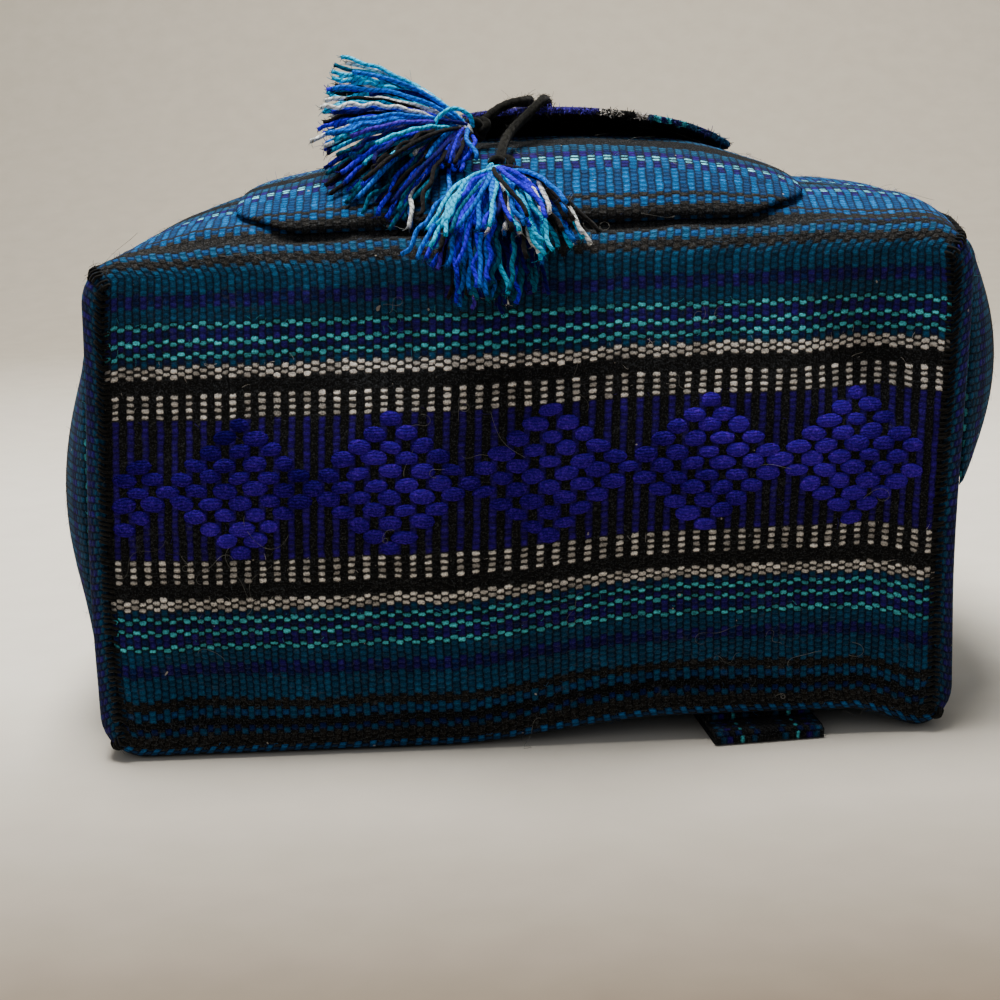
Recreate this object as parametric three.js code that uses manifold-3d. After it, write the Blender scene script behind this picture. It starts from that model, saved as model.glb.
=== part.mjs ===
// Woven drawstring backpack, lying on its back as for storage, in millimetres.
// The base faces -Y, the drawn mouth faces +Y, the front panel with its pocket is up (+Z)
// and the shoulder straps lie folded under the back panel.
// The body is sewn from three cloths: one long wrap that runs up the back, under the base and
// up the front, and a gusset on each side. Every cloth is a thin wall, open inside.
// The origin is at the bottom centre of the bag, its loose drawcords and tassels left out.

import * as THREE from 'three';
import { mergeVertices } from 'three/addons/utils/BufferGeometryUtils.js';
import Module from 'manifold-3d';

const wasm = await Module();
wasm.setup();

// Driving sizes of the body
const WIDTH = 340;            // base, from gusset to gusset
const DEPTH = 200;            // base, from the back panel up to the front panel
const LENGTH = 392;           // from the base to the lip of the drawn mouth
const CLOTH = 2.5;            // heavy woven cloth
const HEM = 3.2;              // folded hem at the mouth, with the drawcord inside
const HEM_LENGTH = 24;
const ROLL = 8;               // radius of the soft edge round the base
const MOUTH_RADIUS = 48;      // mean radius of the gathered mouth
const PLEAT_DEPTH = 9.5;      // how far each gather stands out from the mean radius
const PLEATS_WIDE = 5;        // gathers across the front, and across the back
const PLEATS_DEEP = 3;        // gathers across each gusset
const SWELL = 18;             // how far the filled front panel stands above its seams
const SWAY = 6.5;             // how far the front panel leans to the right over the back
const BASE_CROWN = 7;         // how far the base bellies out
const LEFT_BULGE = 4;
const RIGHT_BULGE = 6;
const SEAM_GAP = 0.5;         // between the edges of two cloths at a seam
const SEAT = 0.6;             // between a piece and the cloth that carries it

// Driving sizes of the front pocket and its flap. Places across the front are shares of it,
// from its left seam to its right one, and distances run along the cloth from the base's edge.
const POCKET_FROM = 0.16;
const POCKET_TO = 0.825;
const POCKET_START = 22;
const POCKET_LENGTH = 160;
const POCKET_BULK = 16;
const FLAP_FROM = 0.27;
const FLAP_TO = 0.77;
const FLAP_RIM = 74;
const FLAP_LENGTH = 145;
const FLAP_CORNER = 46;
const FLAP_ARCH = 8.5;        // how far the free edge stands off the pocket in the middle
const FLAP_CLEARANCE = 1.2;

// Driving sizes of the side pockets, whose places across the gusset are shares of it, from its
// front seam on the right side and from its back seam on the left side.
const SIDE_POCKET_START = 35;
const SIDE_POCKET_LENGTH = 149;
const RIGHT_POCKET = { from: 0.04, to: 0.54, bulk: 15 };
const LEFT_POCKET = { from: 2 / 12, to: 10 / 12, bulk: 11.5 };

// Driving sizes of the shoulder straps
const STRAP_WIDTH = 44;
const STRAP = 2.4;            // two layers of thin cloth
const STRAP_FOLD_GAP = 0.6;
const STRAP_REACH = 335;      // from the strap's front fold to where its upper end is sewn
const STRAP_BACK_FOLD = 168;  // from the front fold to the fold under the middle
const STRAP_LOWER_END = 14;   // from the front fold to where its lower end is sewn
const STRAP_SPLAY = 6.5 * Math.PI / 180;

// Driving sizes of the drawcords, and their routes from the hem at the middle of the mouth, over
// the front panel and the flap, to the necks of the tassels
const CORD = 4;
const CORD_SIDES = 8;
const CORD_STEPS = 34;
const LEFT_CORD = [
  [-2.3, 390.0, 131.0], [-2.3, 383.0, 131.6], [-2.8, 374.0, 139.6], [-4.2, 357.0, 158.9],
  [-7.4, 336.5, 173.7], [-12.0, 311.1, 185.2], [-13.0, 286.0, 195.3], [-10.0, 262.5, 202.1],
  [-4.0, 241.0, 206.8], [2.0, 225.0, 213.2], [7.0, 201.2, 224.9], [9.0, 180.6, 237.8],
  [8.0, 160.5, 242.1], [7.0, 140.5, 245.7], [8.0, 120.5, 249.0], [10.0, 100.2, 251.4],
  [11.0, 83.9, 252.2], [10.8, 75.9, 252.2], [8.0, 68.8, 252.0], [2.5, 64.6, 251.0],
  [-3.0, 62.0, 248.9], [-7.6, 59.6, 245.4],
];
const RIGHT_CORD = [
  [2.3, 390.0, 131.0], [2.3, 383.0, 131.6], [3.2, 373.8, 139.9], [6.0, 356.7, 160.0],
  [11.0, 336.1, 174.4], [18.0, 310.6, 185.2], [23.0, 286.4, 193.6], [24.0, 262.7, 203.1],
  [21.0, 240.8, 208.1], [17.5, 224.8, 213.6], [16.0, 201.2, 224.8], [16.0, 180.6, 237.8],
  [18.0, 160.5, 242.1], [20.0, 140.5, 245.7], [20.0, 120.5, 249.0], [19.0, 100.2, 251.4],
  [17.5, 83.9, 252.3], [17.0, 75.9, 252.4], [15.8, 68.6, 251.8], [12.4, 63.2, 248.9],
  [8.2, 58.6, 245.2], [3.8, 53.0, 241.4], [0.2, 45.4, 237.6], [-3.9, 34.2, 232.6],
];

// Driving sizes of the tassels. turn is a lock's direction seen from above, counterclockwise from
// +X, and lift is its slope, both in degrees. reach is a share of TASSEL_LENGTH and thick a share
// of LOCK.
const TASSEL_LENGTH = 68;
const LOCK = 9;
const HEAD = 15;
const BEND = 24;              // how much steeper a lock leaves the head than it ends, in degrees
const LOCK_CLEARANCE = 1.6;   // between a lock and the cloth under it
const LEFT_NECK = [-14.5, 56.0, 242.6];
const FRONT_NECK = [-7.5, 26.6, 229.2];
const LEFT_LOCKS = [
  { turn: 174, lift: 24, reach: 0.88, thick: 1.0 },
  { turn: 167, lift: 13, reach: 0.90, thick: 1.0 },
  { turn: 182, lift: 13, reach: 0.92, thick: 1.1 },
  { turn: 189, lift: 3, reach: 0.92, thick: 1.1 },
  { turn: 178, lift: 1, reach: 0.92, thick: 1.1 },
  { turn: 200, lift: -7, reach: 0.92, thick: 1.1 },
  { turn: 188, lift: -9, reach: 0.92, thick: 1.1 },
  { turn: 209, lift: -19, reach: 0.96, thick: 1.1 },
  { turn: 221, lift: -26, reach: 0.98, thick: 1.1 },
  { turn: 234, lift: -31, reach: 0.92, thick: 1.0 },
  { turn: 217, lift: -10, reach: 0.86, thick: 1.0 },
];
const FRONT_LOCKS = [
  { turn: 222, lift: -27, reach: 0.82, thick: 1.0 },
  { turn: 232, lift: -40, reach: 0.94, thick: 1.1 },
  { turn: 247, lift: -48, reach: 0.96, thick: 1.1 },
  { turn: 263, lift: -47, reach: 0.90, thick: 1.1 },
  { turn: 280, lift: -46, reach: 0.90, thick: 1.1 },
  { turn: 297, lift: -42, reach: 0.88, thick: 1.1 },
  { turn: 311, lift: -33, reach: 0.83, thick: 1.1 },
  { turn: 321, lift: -22, reach: 0.74, thick: 1.0 },
  { turn: 240, lift: -30, reach: 0.84, thick: 1.1 },
  { turn: 266, lift: -33, reach: 0.84, thick: 1.1 },
  { turn: 292, lift: -29, reach: 0.82, thick: 1.1 },
];

// The body's cross-sections. along is a share of LENGTH, left and right are shares of half the
// WIDTH, floor and top are shares of DEPTH, corner is the corner's radius as a share of DEPTH,
// seam is the angle of the corner that belongs to the front or back, and gather is a share of
// PLEAT_DEPTH.
const MOUTH_HALF = MOUTH_RADIUS / (WIDTH / 2);
const MOUTH_CORNER = MOUTH_RADIUS / DEPTH;
const MOUTH_FLOOR = 0.17;
const MOUTH_TOP = MOUTH_FLOOR + 2 * MOUTH_CORNER;
const SECTIONS = [
  { along: 0.00, left: 1.00, right: 1.00, floor: 0.00, top: 1.00, corner: 0.085, seam: 45, gather: 0 },
  { along: 0.12, left: 1.02, right: 1.03, floor: 0.00, top: 1.00, corner: 0.11, seam: 45, gather: 0 },
  { along: 0.30, left: 1.03, right: 1.04, floor: 0.00, top: 1.00, corner: 0.17, seam: 45, gather: 0 },
  { along: 0.55, left: 1.00, right: 1.01, floor: 0.00, top: 0.98, corner: 0.22, seam: 45, gather: 0 },
  { along: 0.72, left: 0.93, right: 0.94, floor: 0.00, top: 0.92, corner: 0.28, seam: 45, gather: 0.1 },
  { along: 0.83, left: 0.78, right: 0.79, floor: 0.02, top: 0.86, corner: 0.34, seam: 46, gather: 0.35 },
  { along: 0.91, left: 0.54, right: 0.54, floor: 0.08, top: 0.79, corner: 0.33, seam: 52, gather: 0.75 },
  {
    along: 0.965, left: MOUTH_HALF, right: MOUTH_HALF, floor: MOUTH_FLOOR, top: MOUTH_TOP,
    corner: MOUTH_CORNER, seam: 57, gather: 1,
  },
  {
    along: 1.00, left: MOUTH_HALF, right: MOUTH_HALF, floor: MOUTH_FLOOR, top: MOUTH_TOP,
    corner: MOUTH_CORNER, seam: 57, gather: 1,
  },
];

// How the filled front rises above its seams: across from the left seam (-1) to the right (1).
const SWELL_ACROSS = [
  { across: -1.0, rise: -0.1 }, { across: -0.93, rise: 0.0 }, { across: -0.82, rise: 0.45 },
  { across: -0.68, rise: 0.9 }, { across: -0.5, rise: 1.0 }, { across: 0.0, rise: 1.0 },
  { across: 0.45, rise: 0.97 }, { across: 0.62, rise: 0.88 }, { across: 0.8, rise: 0.72 },
  { across: 0.92, rise: 0.5 }, { across: 1.0, rise: 0.32 },
];
const SWELL_ALONG = [
  { along: 0.0, rise: 0.0 }, { along: 0.04, rise: 0.35 }, { along: 0.12, rise: 0.85 },
  { along: 0.22, rise: 1.0 }, { along: 0.45, rise: 1.0 }, { along: 0.65, rise: 0.7 },
  { along: 0.83, rise: 0.15 }, { along: 0.91, rise: 0.0 }, { along: 1.0, rise: 0.0 },
];

// Soft dents in the base. across and up are shares of half the WIDTH and of DEPTH, and reach
// and tall are the dent's half sizes as the same shares. deep is a share of BASE_CROWN.
const BASE_DENTS = [
  { across: 0.86, up: 0.80, reach: 0.22, tall: 0.24, deep: 1.7 },
  { across: -0.35, up: 0.86, reach: 0.35, tall: 0.13, deep: 0.5 },
  { across: -0.82, up: 0.10, reach: 0.18, tall: 0.14, deep: 1.1 },
  { across: 0.35, up: 0.05, reach: 0.40, tall: 0.12, deep: 0.9 },
];

// Creases across the front panel. along is a share of LENGTH, deep a share of SWELL.
const FRONT_CREASES = [
  { along: 0.036, from: -0.84, to: 0.62, wide: 0.016, deep: 0.28 },
  { along: 0.64, from: -0.70, to: 0.10, wide: 0.05, deep: 0.30 },
  { along: 0.74, from: 0.05, to: 0.80, wide: 0.045, deep: 0.34 },
];

// How the front pocket stands off the panel, as shares of POCKET_BULK.
const POCKET_ACROSS = [
  { across: 0.0, rise: 0.0 }, { across: 0.08, rise: 0.22 }, { across: 0.2, rise: 0.55 },
  { across: 0.36, rise: 0.9 }, { across: 0.55, rise: 1.0 }, { across: 0.8, rise: 0.8 },
  { across: 0.93, rise: 0.34 }, { across: 1.0, rise: 0.0 },
];
const POCKET_ALONG = [
  { along: 0.0, rise: 0.0 }, { along: 0.07, rise: 0.36 }, { along: 0.18, rise: 0.78 },
  { along: 0.32, rise: 1.0 }, { along: 0.55, rise: 0.98 }, { along: 0.8, rise: 0.86 },
  { along: 1.0, rise: 0.74 },
];

const SIDE_POCKET_ALONG = [
  { along: 0.0, rise: 0.0 }, { along: 0.08, rise: 0.42 }, { along: 0.2, rise: 0.82 },
  { along: 0.4, rise: 1.0 }, { along: 0.7, rise: 0.86 }, { along: 1.0, rise: 0.66 },
];

const clamp = THREE.MathUtils.clamp;
const lerp = THREE.MathUtils.lerp;
const smooth = (value, low, high) => THREE.MathUtils.smoothstep(value, low, high);

// A smooth curve through one named column of a table, read at a place in its key column.
function read(table, key, column, place) {
  const last = table.length - 1;
  const at = clamp(place, table[0][key], table[last][key]);
  let k = 0;
  while (k < last - 1 && at > table[k + 1][key]) k += 1;
  const slope = (i) => {
    const low = table[Math.max(0, i - 1)];
    const high = table[Math.min(last, i + 1)];
    return (high[column] - low[column]) / (high[key] - low[key]);
  };
  const span = table[k + 1][key] - table[k][key];
  const u = (at - table[k][key]) / span;
  const from = table[k][column];
  const to = table[k + 1][column];
  return from * (1 + 2 * u) * (1 - u) ** 2 + to * u * u * (3 - 2 * u)
    + span * (slope(k) * u * (1 - u) ** 2 - slope(k + 1) * u * u * (1 - u));
}

// A soft round bump, 1 in the middle and 0 from its edge on.
function bump(distance) {
  return Math.abs(distance) < 1 ? (1 + Math.cos(Math.PI * distance)) / 2 : 0;
}

// The straps: where each front fold lies, and how wide the back panel's slopes over the folded
// stack are, on the outer side and on the side of the bag's middle.
const STRAPS = [
  { name: 'strap_left', side: -1, x: -0.27 * WIDTH, front: 0.26 * DEPTH, outerSlope: 60, innerSlope: 46 },
  { name: 'strap_right', side: 1, x: 0.282 * WIDTH, front: -0.025 * DEPTH, outerSlope: 34, innerSlope: 96 },
];
const STRAP_PITCH = STRAP + STRAP_FOLD_GAP;
const STRAP_STACK = 3 * STRAP + 2 * STRAP_FOLD_GAP;
const SLOPE_MARGIN = 12;      // the back panel's level part beside a strap
const SINGLE_SLOPE = 16;

// How far the back panel is lifted by the straps under it.
function strapLift(x, t) {
  let lift = 0;
  for (const strap of STRAPS) {
    const dx = x - strap.x;
    const dt = t - strap.front;
    const along = dt * Math.cos(STRAP_SPLAY) - strap.side * dx * Math.sin(STRAP_SPLAY);
    const across = strap.side * dx * Math.cos(STRAP_SPLAY) + dt * Math.sin(STRAP_SPLAY);
    const level = STRAP_WIDTH / 2 + SLOPE_MARGIN;
    const slope = across > 0 ? strap.outerSlope : strap.innerSlope;
    const beside = 1 - smooth(Math.abs(across), level, level + slope);
    const besideSingle = 1 - smooth(Math.abs(across), level, level + SINGLE_SLOPE);
    const before = smooth(along, -36, -8);
    const stacked = before * (1 - smooth(along, STRAP_BACK_FOLD + 14, STRAP_BACK_FOLD + 60));
    const single = before * (1 - smooth(along, STRAP_REACH + 8, STRAP_REACH + 30));
    const stackLift = (STRAP_STACK + SEAT) * stacked * beside;
    const singleLift = (STRAP + SEAT) * single * besideSingle;
    lift = Math.max(lift, stackLift, singleLift);
  }
  return lift;
}

// The body's section at a distance along the cloth from the base's edge. The cloth first rolls
// over the soft edge and then runs straight away from the base.
const ROLL_LENGTH = ROLL * Math.PI / 2;
const CLOTH_LENGTH = ROLL_LENGTH + LENGTH - ROLL;

function sectionAt(distance) {
  const turn = Math.min(Math.PI / 2, distance / ROLL);
  const t = ROLL * (1 - Math.cos(turn)) + Math.max(0, distance - ROLL_LENGTH);
  const inset = ROLL * (1 - Math.sin(turn));
  const column = (name) => read(SECTIONS, 'along', name, t / LENGTH);
  const left = column('left') * WIDTH / 2 - inset;
  const right = column('right') * WIDTH / 2 - inset;
  const floor = Math.max(0, column('floor') * DEPTH) + inset;
  const top = column('top') * DEPTH - inset;
  const corner = Math.min(column('corner') * DEPTH - inset, (left + right) / 2, (top - floor) / 2);
  const seam = THREE.MathUtils.degToRad(column('seam'));
  return { t, left, right, floor, top, corner, seam, gather: Math.max(0, column('gather')) * PLEAT_DEPTH };
}

// How far the bag leans to the right at a height.
function swayAt(z, t) {
  return SWAY * smooth(z, 0.25 * DEPTH, DEPTH) * (1 - smooth(t, 0.5 * LENGTH, 0.85 * LENGTH));
}

// How far the front panel swells at x, less the creases that cut into it.
function frontRise(x, section) {
  const across = x < 0 ? x / section.left : x / section.right;
  const along = section.t / LENGTH;
  let rise = read(SWELL_ACROSS, 'across', 'rise', across) * read(SWELL_ALONG, 'along', 'rise', along);
  for (const crease of FRONT_CREASES) {
    const inside = smooth(across, crease.from - 0.12, crease.from + 0.12)
      * (1 - smooth(across, crease.to - 0.12, crease.to + 0.12));
    rise -= crease.deep * inside * bump((along - crease.along) / crease.wide);
  }
  return SWELL * rise;
}

// How far a gusset bellies out between its seams.
function gussetBulge(side, z, section) {
  const seamInset = section.corner * (1 - Math.sin(section.seam));
  const share = clamp((z - section.floor - seamInset) / (section.top - section.floor - 2 * seamInset), 0, 1);
  const along = smooth(section.t, ROLL, 60) * (1 - smooth(section.t, 0.6 * LENGTH, 0.85 * LENGTH));
  return (side === 'left' ? LEFT_BULGE : RIGHT_BULGE) * Math.sin(Math.PI * share) ** 2 * along;
}

// A point on one of the four sides of the body. share runs from seam to seam across the side.
function bodyPoint(side, share, distance) {
  const section = sectionAt(distance);
  const { left, right, floor, top, corner } = section;
  const wide = side === 'front' || side === 'back';
  const straight = (wide ? left + right : top - floor) - 2 * corner;
  const arcTurn = wide ? section.seam : Math.PI / 2 - section.seam;
  const arc = corner * arcTurn;
  const total = straight + 2 * arc;
  const d = lerp(SEAM_GAP / 2, total - SEAM_GAP / 2, share);
  const turn = d < arc ? d / corner - arcTurn : Math.max(0, d - arc - straight) / corner;
  const level = clamp(d - arc, 0, straight) - straight / 2;
  const gathers = wide ? PLEATS_WIDE : PLEATS_DEEP;
  const radius = corner + section.gather * Math.cos(2 * Math.PI * gathers * share);
  const u = level + radius * Math.sin(turn);
  const w = radius * Math.cos(turn) - corner;
  const centreX = (right - left) / 2;
  const centreZ = (top + floor) / 2;
  const [x, z] = {
    front: [centreX + u, top + w],
    right: [right + w, centreZ - u],
    back: [centreX - u, floor - w],
    left: [-left - w, centreZ + u],
  }[side];
  const upper = smooth(z, 0.2 * DEPTH, 0.8 * DEPTH);
  const height = Math.max(0, z) + frontRise(x, section) * upper + strapLift(x, section.t) * (1 - upper);
  const out = wide ? 0 : Math.sign(x) * gussetBulge(side, z, section);
  return new THREE.Vector3(x + out + swayAt(height, section.t), section.t, height);
}

// The base: a sheet stretched between the rolled edges of the back and the front.
function basePoint(f, g) {
  const low = bodyPoint('back', 1 - f, 0);
  const high = bodyPoint('front', f, 0);
  low.x -= swayAt(low.z, 0);
  high.x -= swayAt(high.z, 0);
  const point = low.lerp(high, g);
  const across = 2 * f - 1;
  const up = 2 * g - 1;
  const cornerFill = sectionAt(0).corner * (1 - Math.SQRT1_2) - SEAM_GAP;
  point.x += Math.sign(across) * cornerFill * across ** 8 * (1 - up ** 8);
  let belly = (1 - across ** 4) * (1 - up ** 2) ** 2;
  for (const dent of BASE_DENTS) {
    const away = Math.hypot((across - dent.across) / dent.reach, (g - dent.up) / dent.tall);
    belly -= dent.deep * bump(away) * (1 - across ** 8) * (1 - up ** 8);
  }
  point.y -= BASE_CROWN * belly;
  point.x += swayAt(point.z, 0);
  return point;
}

// The outward normal of a face, from a function of two shares that runs across it and along it.
function normalOf(face, u, v) {
  const step = 0.002;
  const across = face(Math.min(1, u + step), v).sub(face(Math.max(0, u - step), v));
  const along = face(u, Math.min(1, v + step)).sub(face(u, Math.max(0, v - step)));
  return across.cross(along).normalize();
}

// A cloth panel from a function of its outer face. Its wall goes inwards from that face and is
// closed all round its rim.
function clothPanel(name, columns, rows, face, wall, material) {
  const wide = columns.length;
  const tall = rows.length;
  const outside = [];
  const inside = [];
  for (const v of rows) {
    for (const u of columns) {
      const point = face(u, v);
      outside.push(point);
      inside.push(point.clone().addScaledVector(normalOf(face, u, v), -wall(u, v)));
    }
  }
  const points = [...outside, ...inside];
  const behind = outside.length;
  const faces = [];
  const quad = (a, b, c, d) => faces.push(a, b, c, a, c, d);
  for (let j = 0; j < tall - 1; j += 1) {
    for (let i = 0; i < wide - 1; i += 1) {
      const a = j * wide + i;
      quad(a, a + 1, a + 1 + wide, a + wide);
      quad(behind + a, behind + a + wide, behind + a + 1 + wide, behind + a + 1);
    }
  }
  for (let i = 0; i < wide - 1; i += 1) {
    const low = i;
    const high = (tall - 1) * wide + i;
    quad(low, behind + low, behind + low + 1, low + 1);
    quad(high, high + 1, behind + high + 1, behind + high);
  }
  for (let j = 0; j < tall - 1; j += 1) {
    const near = j * wide;
    const far = near + wide - 1;
    quad(near, near + wide, behind + near + wide, behind + near);
    quad(far, behind + far, behind + far + wide, far + wide);
  }
  const geometry = new THREE.BufferGeometry().setFromPoints(points);
  geometry.setIndex(faces);
  geometry.computeVertexNormals();
  const mesh = new THREE.Mesh(geometry, material);
  mesh.name = name;
  return mesh;
}

const shares = (count) => Array.from({ length: count + 1 }, (_, k) => k / count);

// Materials
function cloth(color) {
  return new THREE.MeshStandardMaterial({ color, roughness: 0.95, metalness: 0 });
}
const wovenBlue = cloth(0x0a3a55);
const wovenTeal = cloth(0x0b4a5c);
const flapBlue = cloth(0x12126a);
const strapDark = cloth(0x0a2030);
const cordBlack = cloth(0x22231f);
const yarnBlue = cloth(0x1550c0);

// The wrap and the gussets. ROWS are distances along the cloth from the base's edge: the places
// where a piece starts or ends, and shares of the stretches between them.
const between = (low, high, places) => [low, ...places.map((place) => lerp(low, high, place))];
const POCKET_END = POCKET_START + POCKET_LENGTH;
const FLAP_ROOT = FLAP_RIM + FLAP_LENGTH;
const ROWS = [
  ...between(0, ROLL_LENGTH, [0.33, 0.67]),
  ROLL_LENGTH,
  ...between(POCKET_START, FLAP_RIM, [0.17, 0.38, 0.65]),
  ...between(FLAP_RIM, POCKET_END, [0.24, 0.5, 0.75]),
  POCKET_END,
  ...between(FLAP_ROOT, CLOTH_LENGTH, [0.2, 0.38, 0.53, 0.65, 0.76, 0.85, 0.93]),
  CLOTH_LENGTH,
];
const BASE_ROWS = 7;
const BACK_SHARE = 0.4;       // the share of the wrap's length that each of back and front takes

function wrapFace(share, v) {
  if (v < BACK_SHARE) return bodyPoint('back', 1 - share, CLOTH_LENGTH * (1 - v / BACK_SHARE));
  if (v > 1 - BACK_SHARE) return bodyPoint('front', share, CLOTH_LENGTH * (v - 1 + BACK_SHARE) / BACK_SHARE);
  return basePoint(share, (v - BACK_SHARE) / (1 - 2 * BACK_SHARE));
}

// The wall at a distance along the cloth: one cloth, and a folded hem at the mouth.
function wallAt(distance) {
  return lerp(CLOTH, HEM, smooth(distance, CLOTH_LENGTH - HEM_LENGTH - 6, CLOTH_LENGTH - HEM_LENGTH + 4));
}

function wrapWall(share, v) {
  const fromEdge = Math.max(0, Math.abs(v - 0.5) - 0.5 + BACK_SHARE) / BACK_SHARE;
  return wallAt(CLOTH_LENGTH * fromEdge);
}

const wrapRows = [
  ...ROWS.slice().reverse().map((distance) => BACK_SHARE * (1 - distance / CLOTH_LENGTH)),
  ...shares(BASE_ROWS).slice(1, -1).map((up) => BACK_SHARE + up * (1 - 2 * BACK_SHARE)),
  ...ROWS.map((distance) => 1 - BACK_SHARE + BACK_SHARE * distance / CLOTH_LENGTH),
];

function makeWrap() {
  return clothPanel('body_wrap', shares(4 * PLEATS_WIDE), wrapRows, wrapFace, wrapWall, wovenBlue);
}

function makeGusset(side) {
  const face = (share, v) => bodyPoint(side, share, v * CLOTH_LENGTH);
  const rows = ROWS.map((distance) => distance / CLOTH_LENGTH);
  const wall = (share, v) => wallAt(v * CLOTH_LENGTH);
  return clothPanel(`gusset_${side}`, shares(4 * PLEATS_DEEP), rows, face, wall, wovenTeal);
}

// A patch on one side of the body, from share to share and from distance to distance. rise is
// how far its inner face stands off, and its edges lie on the places given.
function patch(name, side, columns, rows, rise, material) {
  const from = columns[0];
  const wide = columns[columns.length - 1] - from;
  const start = rows[0];
  const long = rows[rows.length - 1] - start;
  const carrier = (u, v) => bodyPoint(side, from + u * wide, start + v * long);
  const face = (u, v) => {
    const off = SEAT + CLOTH + rise(from + u * wide, start + v * long);
    return carrier(u, v).addScaledVector(normalOf(carrier, u, v), off);
  };
  const across = columns.map((share) => (share - from) / wide);
  const along = rows.map((distance) => (distance - start) / long);
  return clothPanel(name, across, along, face, () => CLOTH, material);
}

// The front pocket stands off the panel and is open at its upper edge.
function pocketRise(share, distance) {
  const across = (share - POCKET_FROM) / (POCKET_TO - POCKET_FROM);
  const along = (distance - POCKET_START) / POCKET_LENGTH;
  return POCKET_BULK * read(POCKET_ACROSS, 'across', 'rise', across)
    * read(POCKET_ALONG, 'along', 'rise', along) * (1 - smooth(along, 1, 1.2));
}

function makeFrontPocket() {
  const columns = [
    0, 0.03, 0.06, 0.135, 0.21, 0.286, 0.36, 0.436, 0.51, 0.586, 0.66, 0.737, 0.81, 0.887, 0.96, 1,
  ].map((u) => lerp(POCKET_FROM, POCKET_TO, u));
  const rows = ROWS.filter((row) => row >= POCKET_START && row <= POCKET_END);
  return patch('front_pocket', 'front', columns, rows, pocketRise, wovenBlue);
}

// The pocket's flap is sewn behind the pocket's mouth and runs over it to a free edge with round
// corners.
function makePocketFlap() {
  const wide = (FLAP_TO - FLAP_FROM) * WIDTH;
  const rim = (u) => {
    const past = Math.max(0, Math.abs(u - 0.5) * wide - wide / 2 + FLAP_CORNER);
    return FLAP_RIM + FLAP_CORNER - Math.sqrt(FLAP_CORNER ** 2 - past ** 2);
  };
  const face = (u, v) => {
    const share = lerp(FLAP_FROM, FLAP_TO, u);
    const distance = lerp(rim(u), FLAP_ROOT, v);
    const reach = (FLAP_ROOT - distance) / FLAP_LENGTH;
    const arch = FLAP_ARCH * (1 - (2 * u - 1) ** 2) * smooth(reach, 0.1, 1);
    const onPocket = 1 - smooth(distance, POCKET_END, FLAP_ROOT);
    const below = SEAT + pocketRise(share, distance) + onPocket * (CLOTH + FLAP_CLEARANCE);
    const point = bodyPoint('front', share, distance);
    point.z += below + arch + CLOTH;
    return point;
  };
  const columns = [0, 0.02, 0.06, 0.13, 0.22, 0.33, 0.44, 0.56, 0.67, 0.78, 0.87, 0.94, 0.98, 1];
  return clothPanel('pocket_flap', columns, shares(9), face, () => CLOTH, flapBlue);
}

// The side pockets stand off the gussets and are open at the upper edge.
function makeSidePocket(name, side, { from, to, bulk }) {
  const columns = [0, 0.05, 0.13, 0.25, 0.375, 0.5, 0.625, 0.75, 0.87, 0.95, 1].map((u) => lerp(from, to, u));
  const rows = [0, 0.04, 0.1, 0.19, 0.32, 0.5, 0.74, 1]
    .map((v) => SIDE_POCKET_START + v * SIDE_POCKET_LENGTH);
  const rise = (share, distance) => {
    const across = (share - from) / (to - from);
    const along = (distance - SIDE_POCKET_START) / SIDE_POCKET_LENGTH;
    return bulk * Math.sin(Math.PI * clamp(across, 0, 1)) ** 0.8
      * read(SIDE_POCKET_ALONG, 'along', 'rise', along);
  };
  return patch(name, side, columns, rows, rise, wovenTeal);
}

// A shoulder strap: a flat band in three legs, one on the other, folded at the front and again
// under the middle of the back panel
function makeStrap({ name, side, x, front }) {
  const bend = STRAP_PITCH / 2;
  const line = [new THREE.Vector2(STRAP_REACH, STRAP / 2)];
  const foldSteps = 6;
  for (let k = 0; k <= foldSteps; k += 1) {
    const a = Math.PI * k / foldSteps;
    line.push(new THREE.Vector2(bend - bend * Math.sin(a), STRAP / 2 + bend - bend * Math.cos(a)));
  }
  for (let k = 0; k <= foldSteps; k += 1) {
    const a = Math.PI * k / foldSteps;
    const height = STRAP / 2 + STRAP_PITCH + bend - bend * Math.cos(a);
    line.push(new THREE.Vector2(STRAP_BACK_FOLD + bend * Math.sin(a), height));
  }
  line.push(new THREE.Vector2(STRAP_LOWER_END, STRAP / 2 + 2 * STRAP_PITCH));
  const upper = [];
  const lower = [];
  line.forEach((point, k) => {
    const before = line[Math.max(0, k - 1)];
    const after = line[Math.min(line.length - 1, k + 1)];
    const along = after.clone().sub(before).normalize();
    const across = new THREE.Vector2(-along.y, along.x).multiplyScalar(STRAP / 2);
    upper.push(point.clone().add(across));
    lower.unshift(point.clone().sub(across));
  });
  const geometry = new THREE.ExtrudeGeometry(new THREE.Shape([...upper, ...lower]), {
    depth: STRAP_WIDTH, steps: 1, bevelEnabled: false,
  });
  // The outline lies in X and Y and is extruded along Z: lay it down with its length along +Y.
  geometry.translate(0, 0, -STRAP_WIDTH / 2);
  const lay = new THREE.Matrix4().set(0, 0, 1, 0, 1, 0, 0, 0, 0, 1, 0, 0, 0, 0, 0, 1);
  geometry.applyMatrix4(lay);
  geometry.rotateZ(side * STRAP_SPLAY);
  geometry.translate(x, front, 0);
  const mesh = new THREE.Mesh(geometry, strapDark);
  mesh.name = name;
  return mesh;
}

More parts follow.
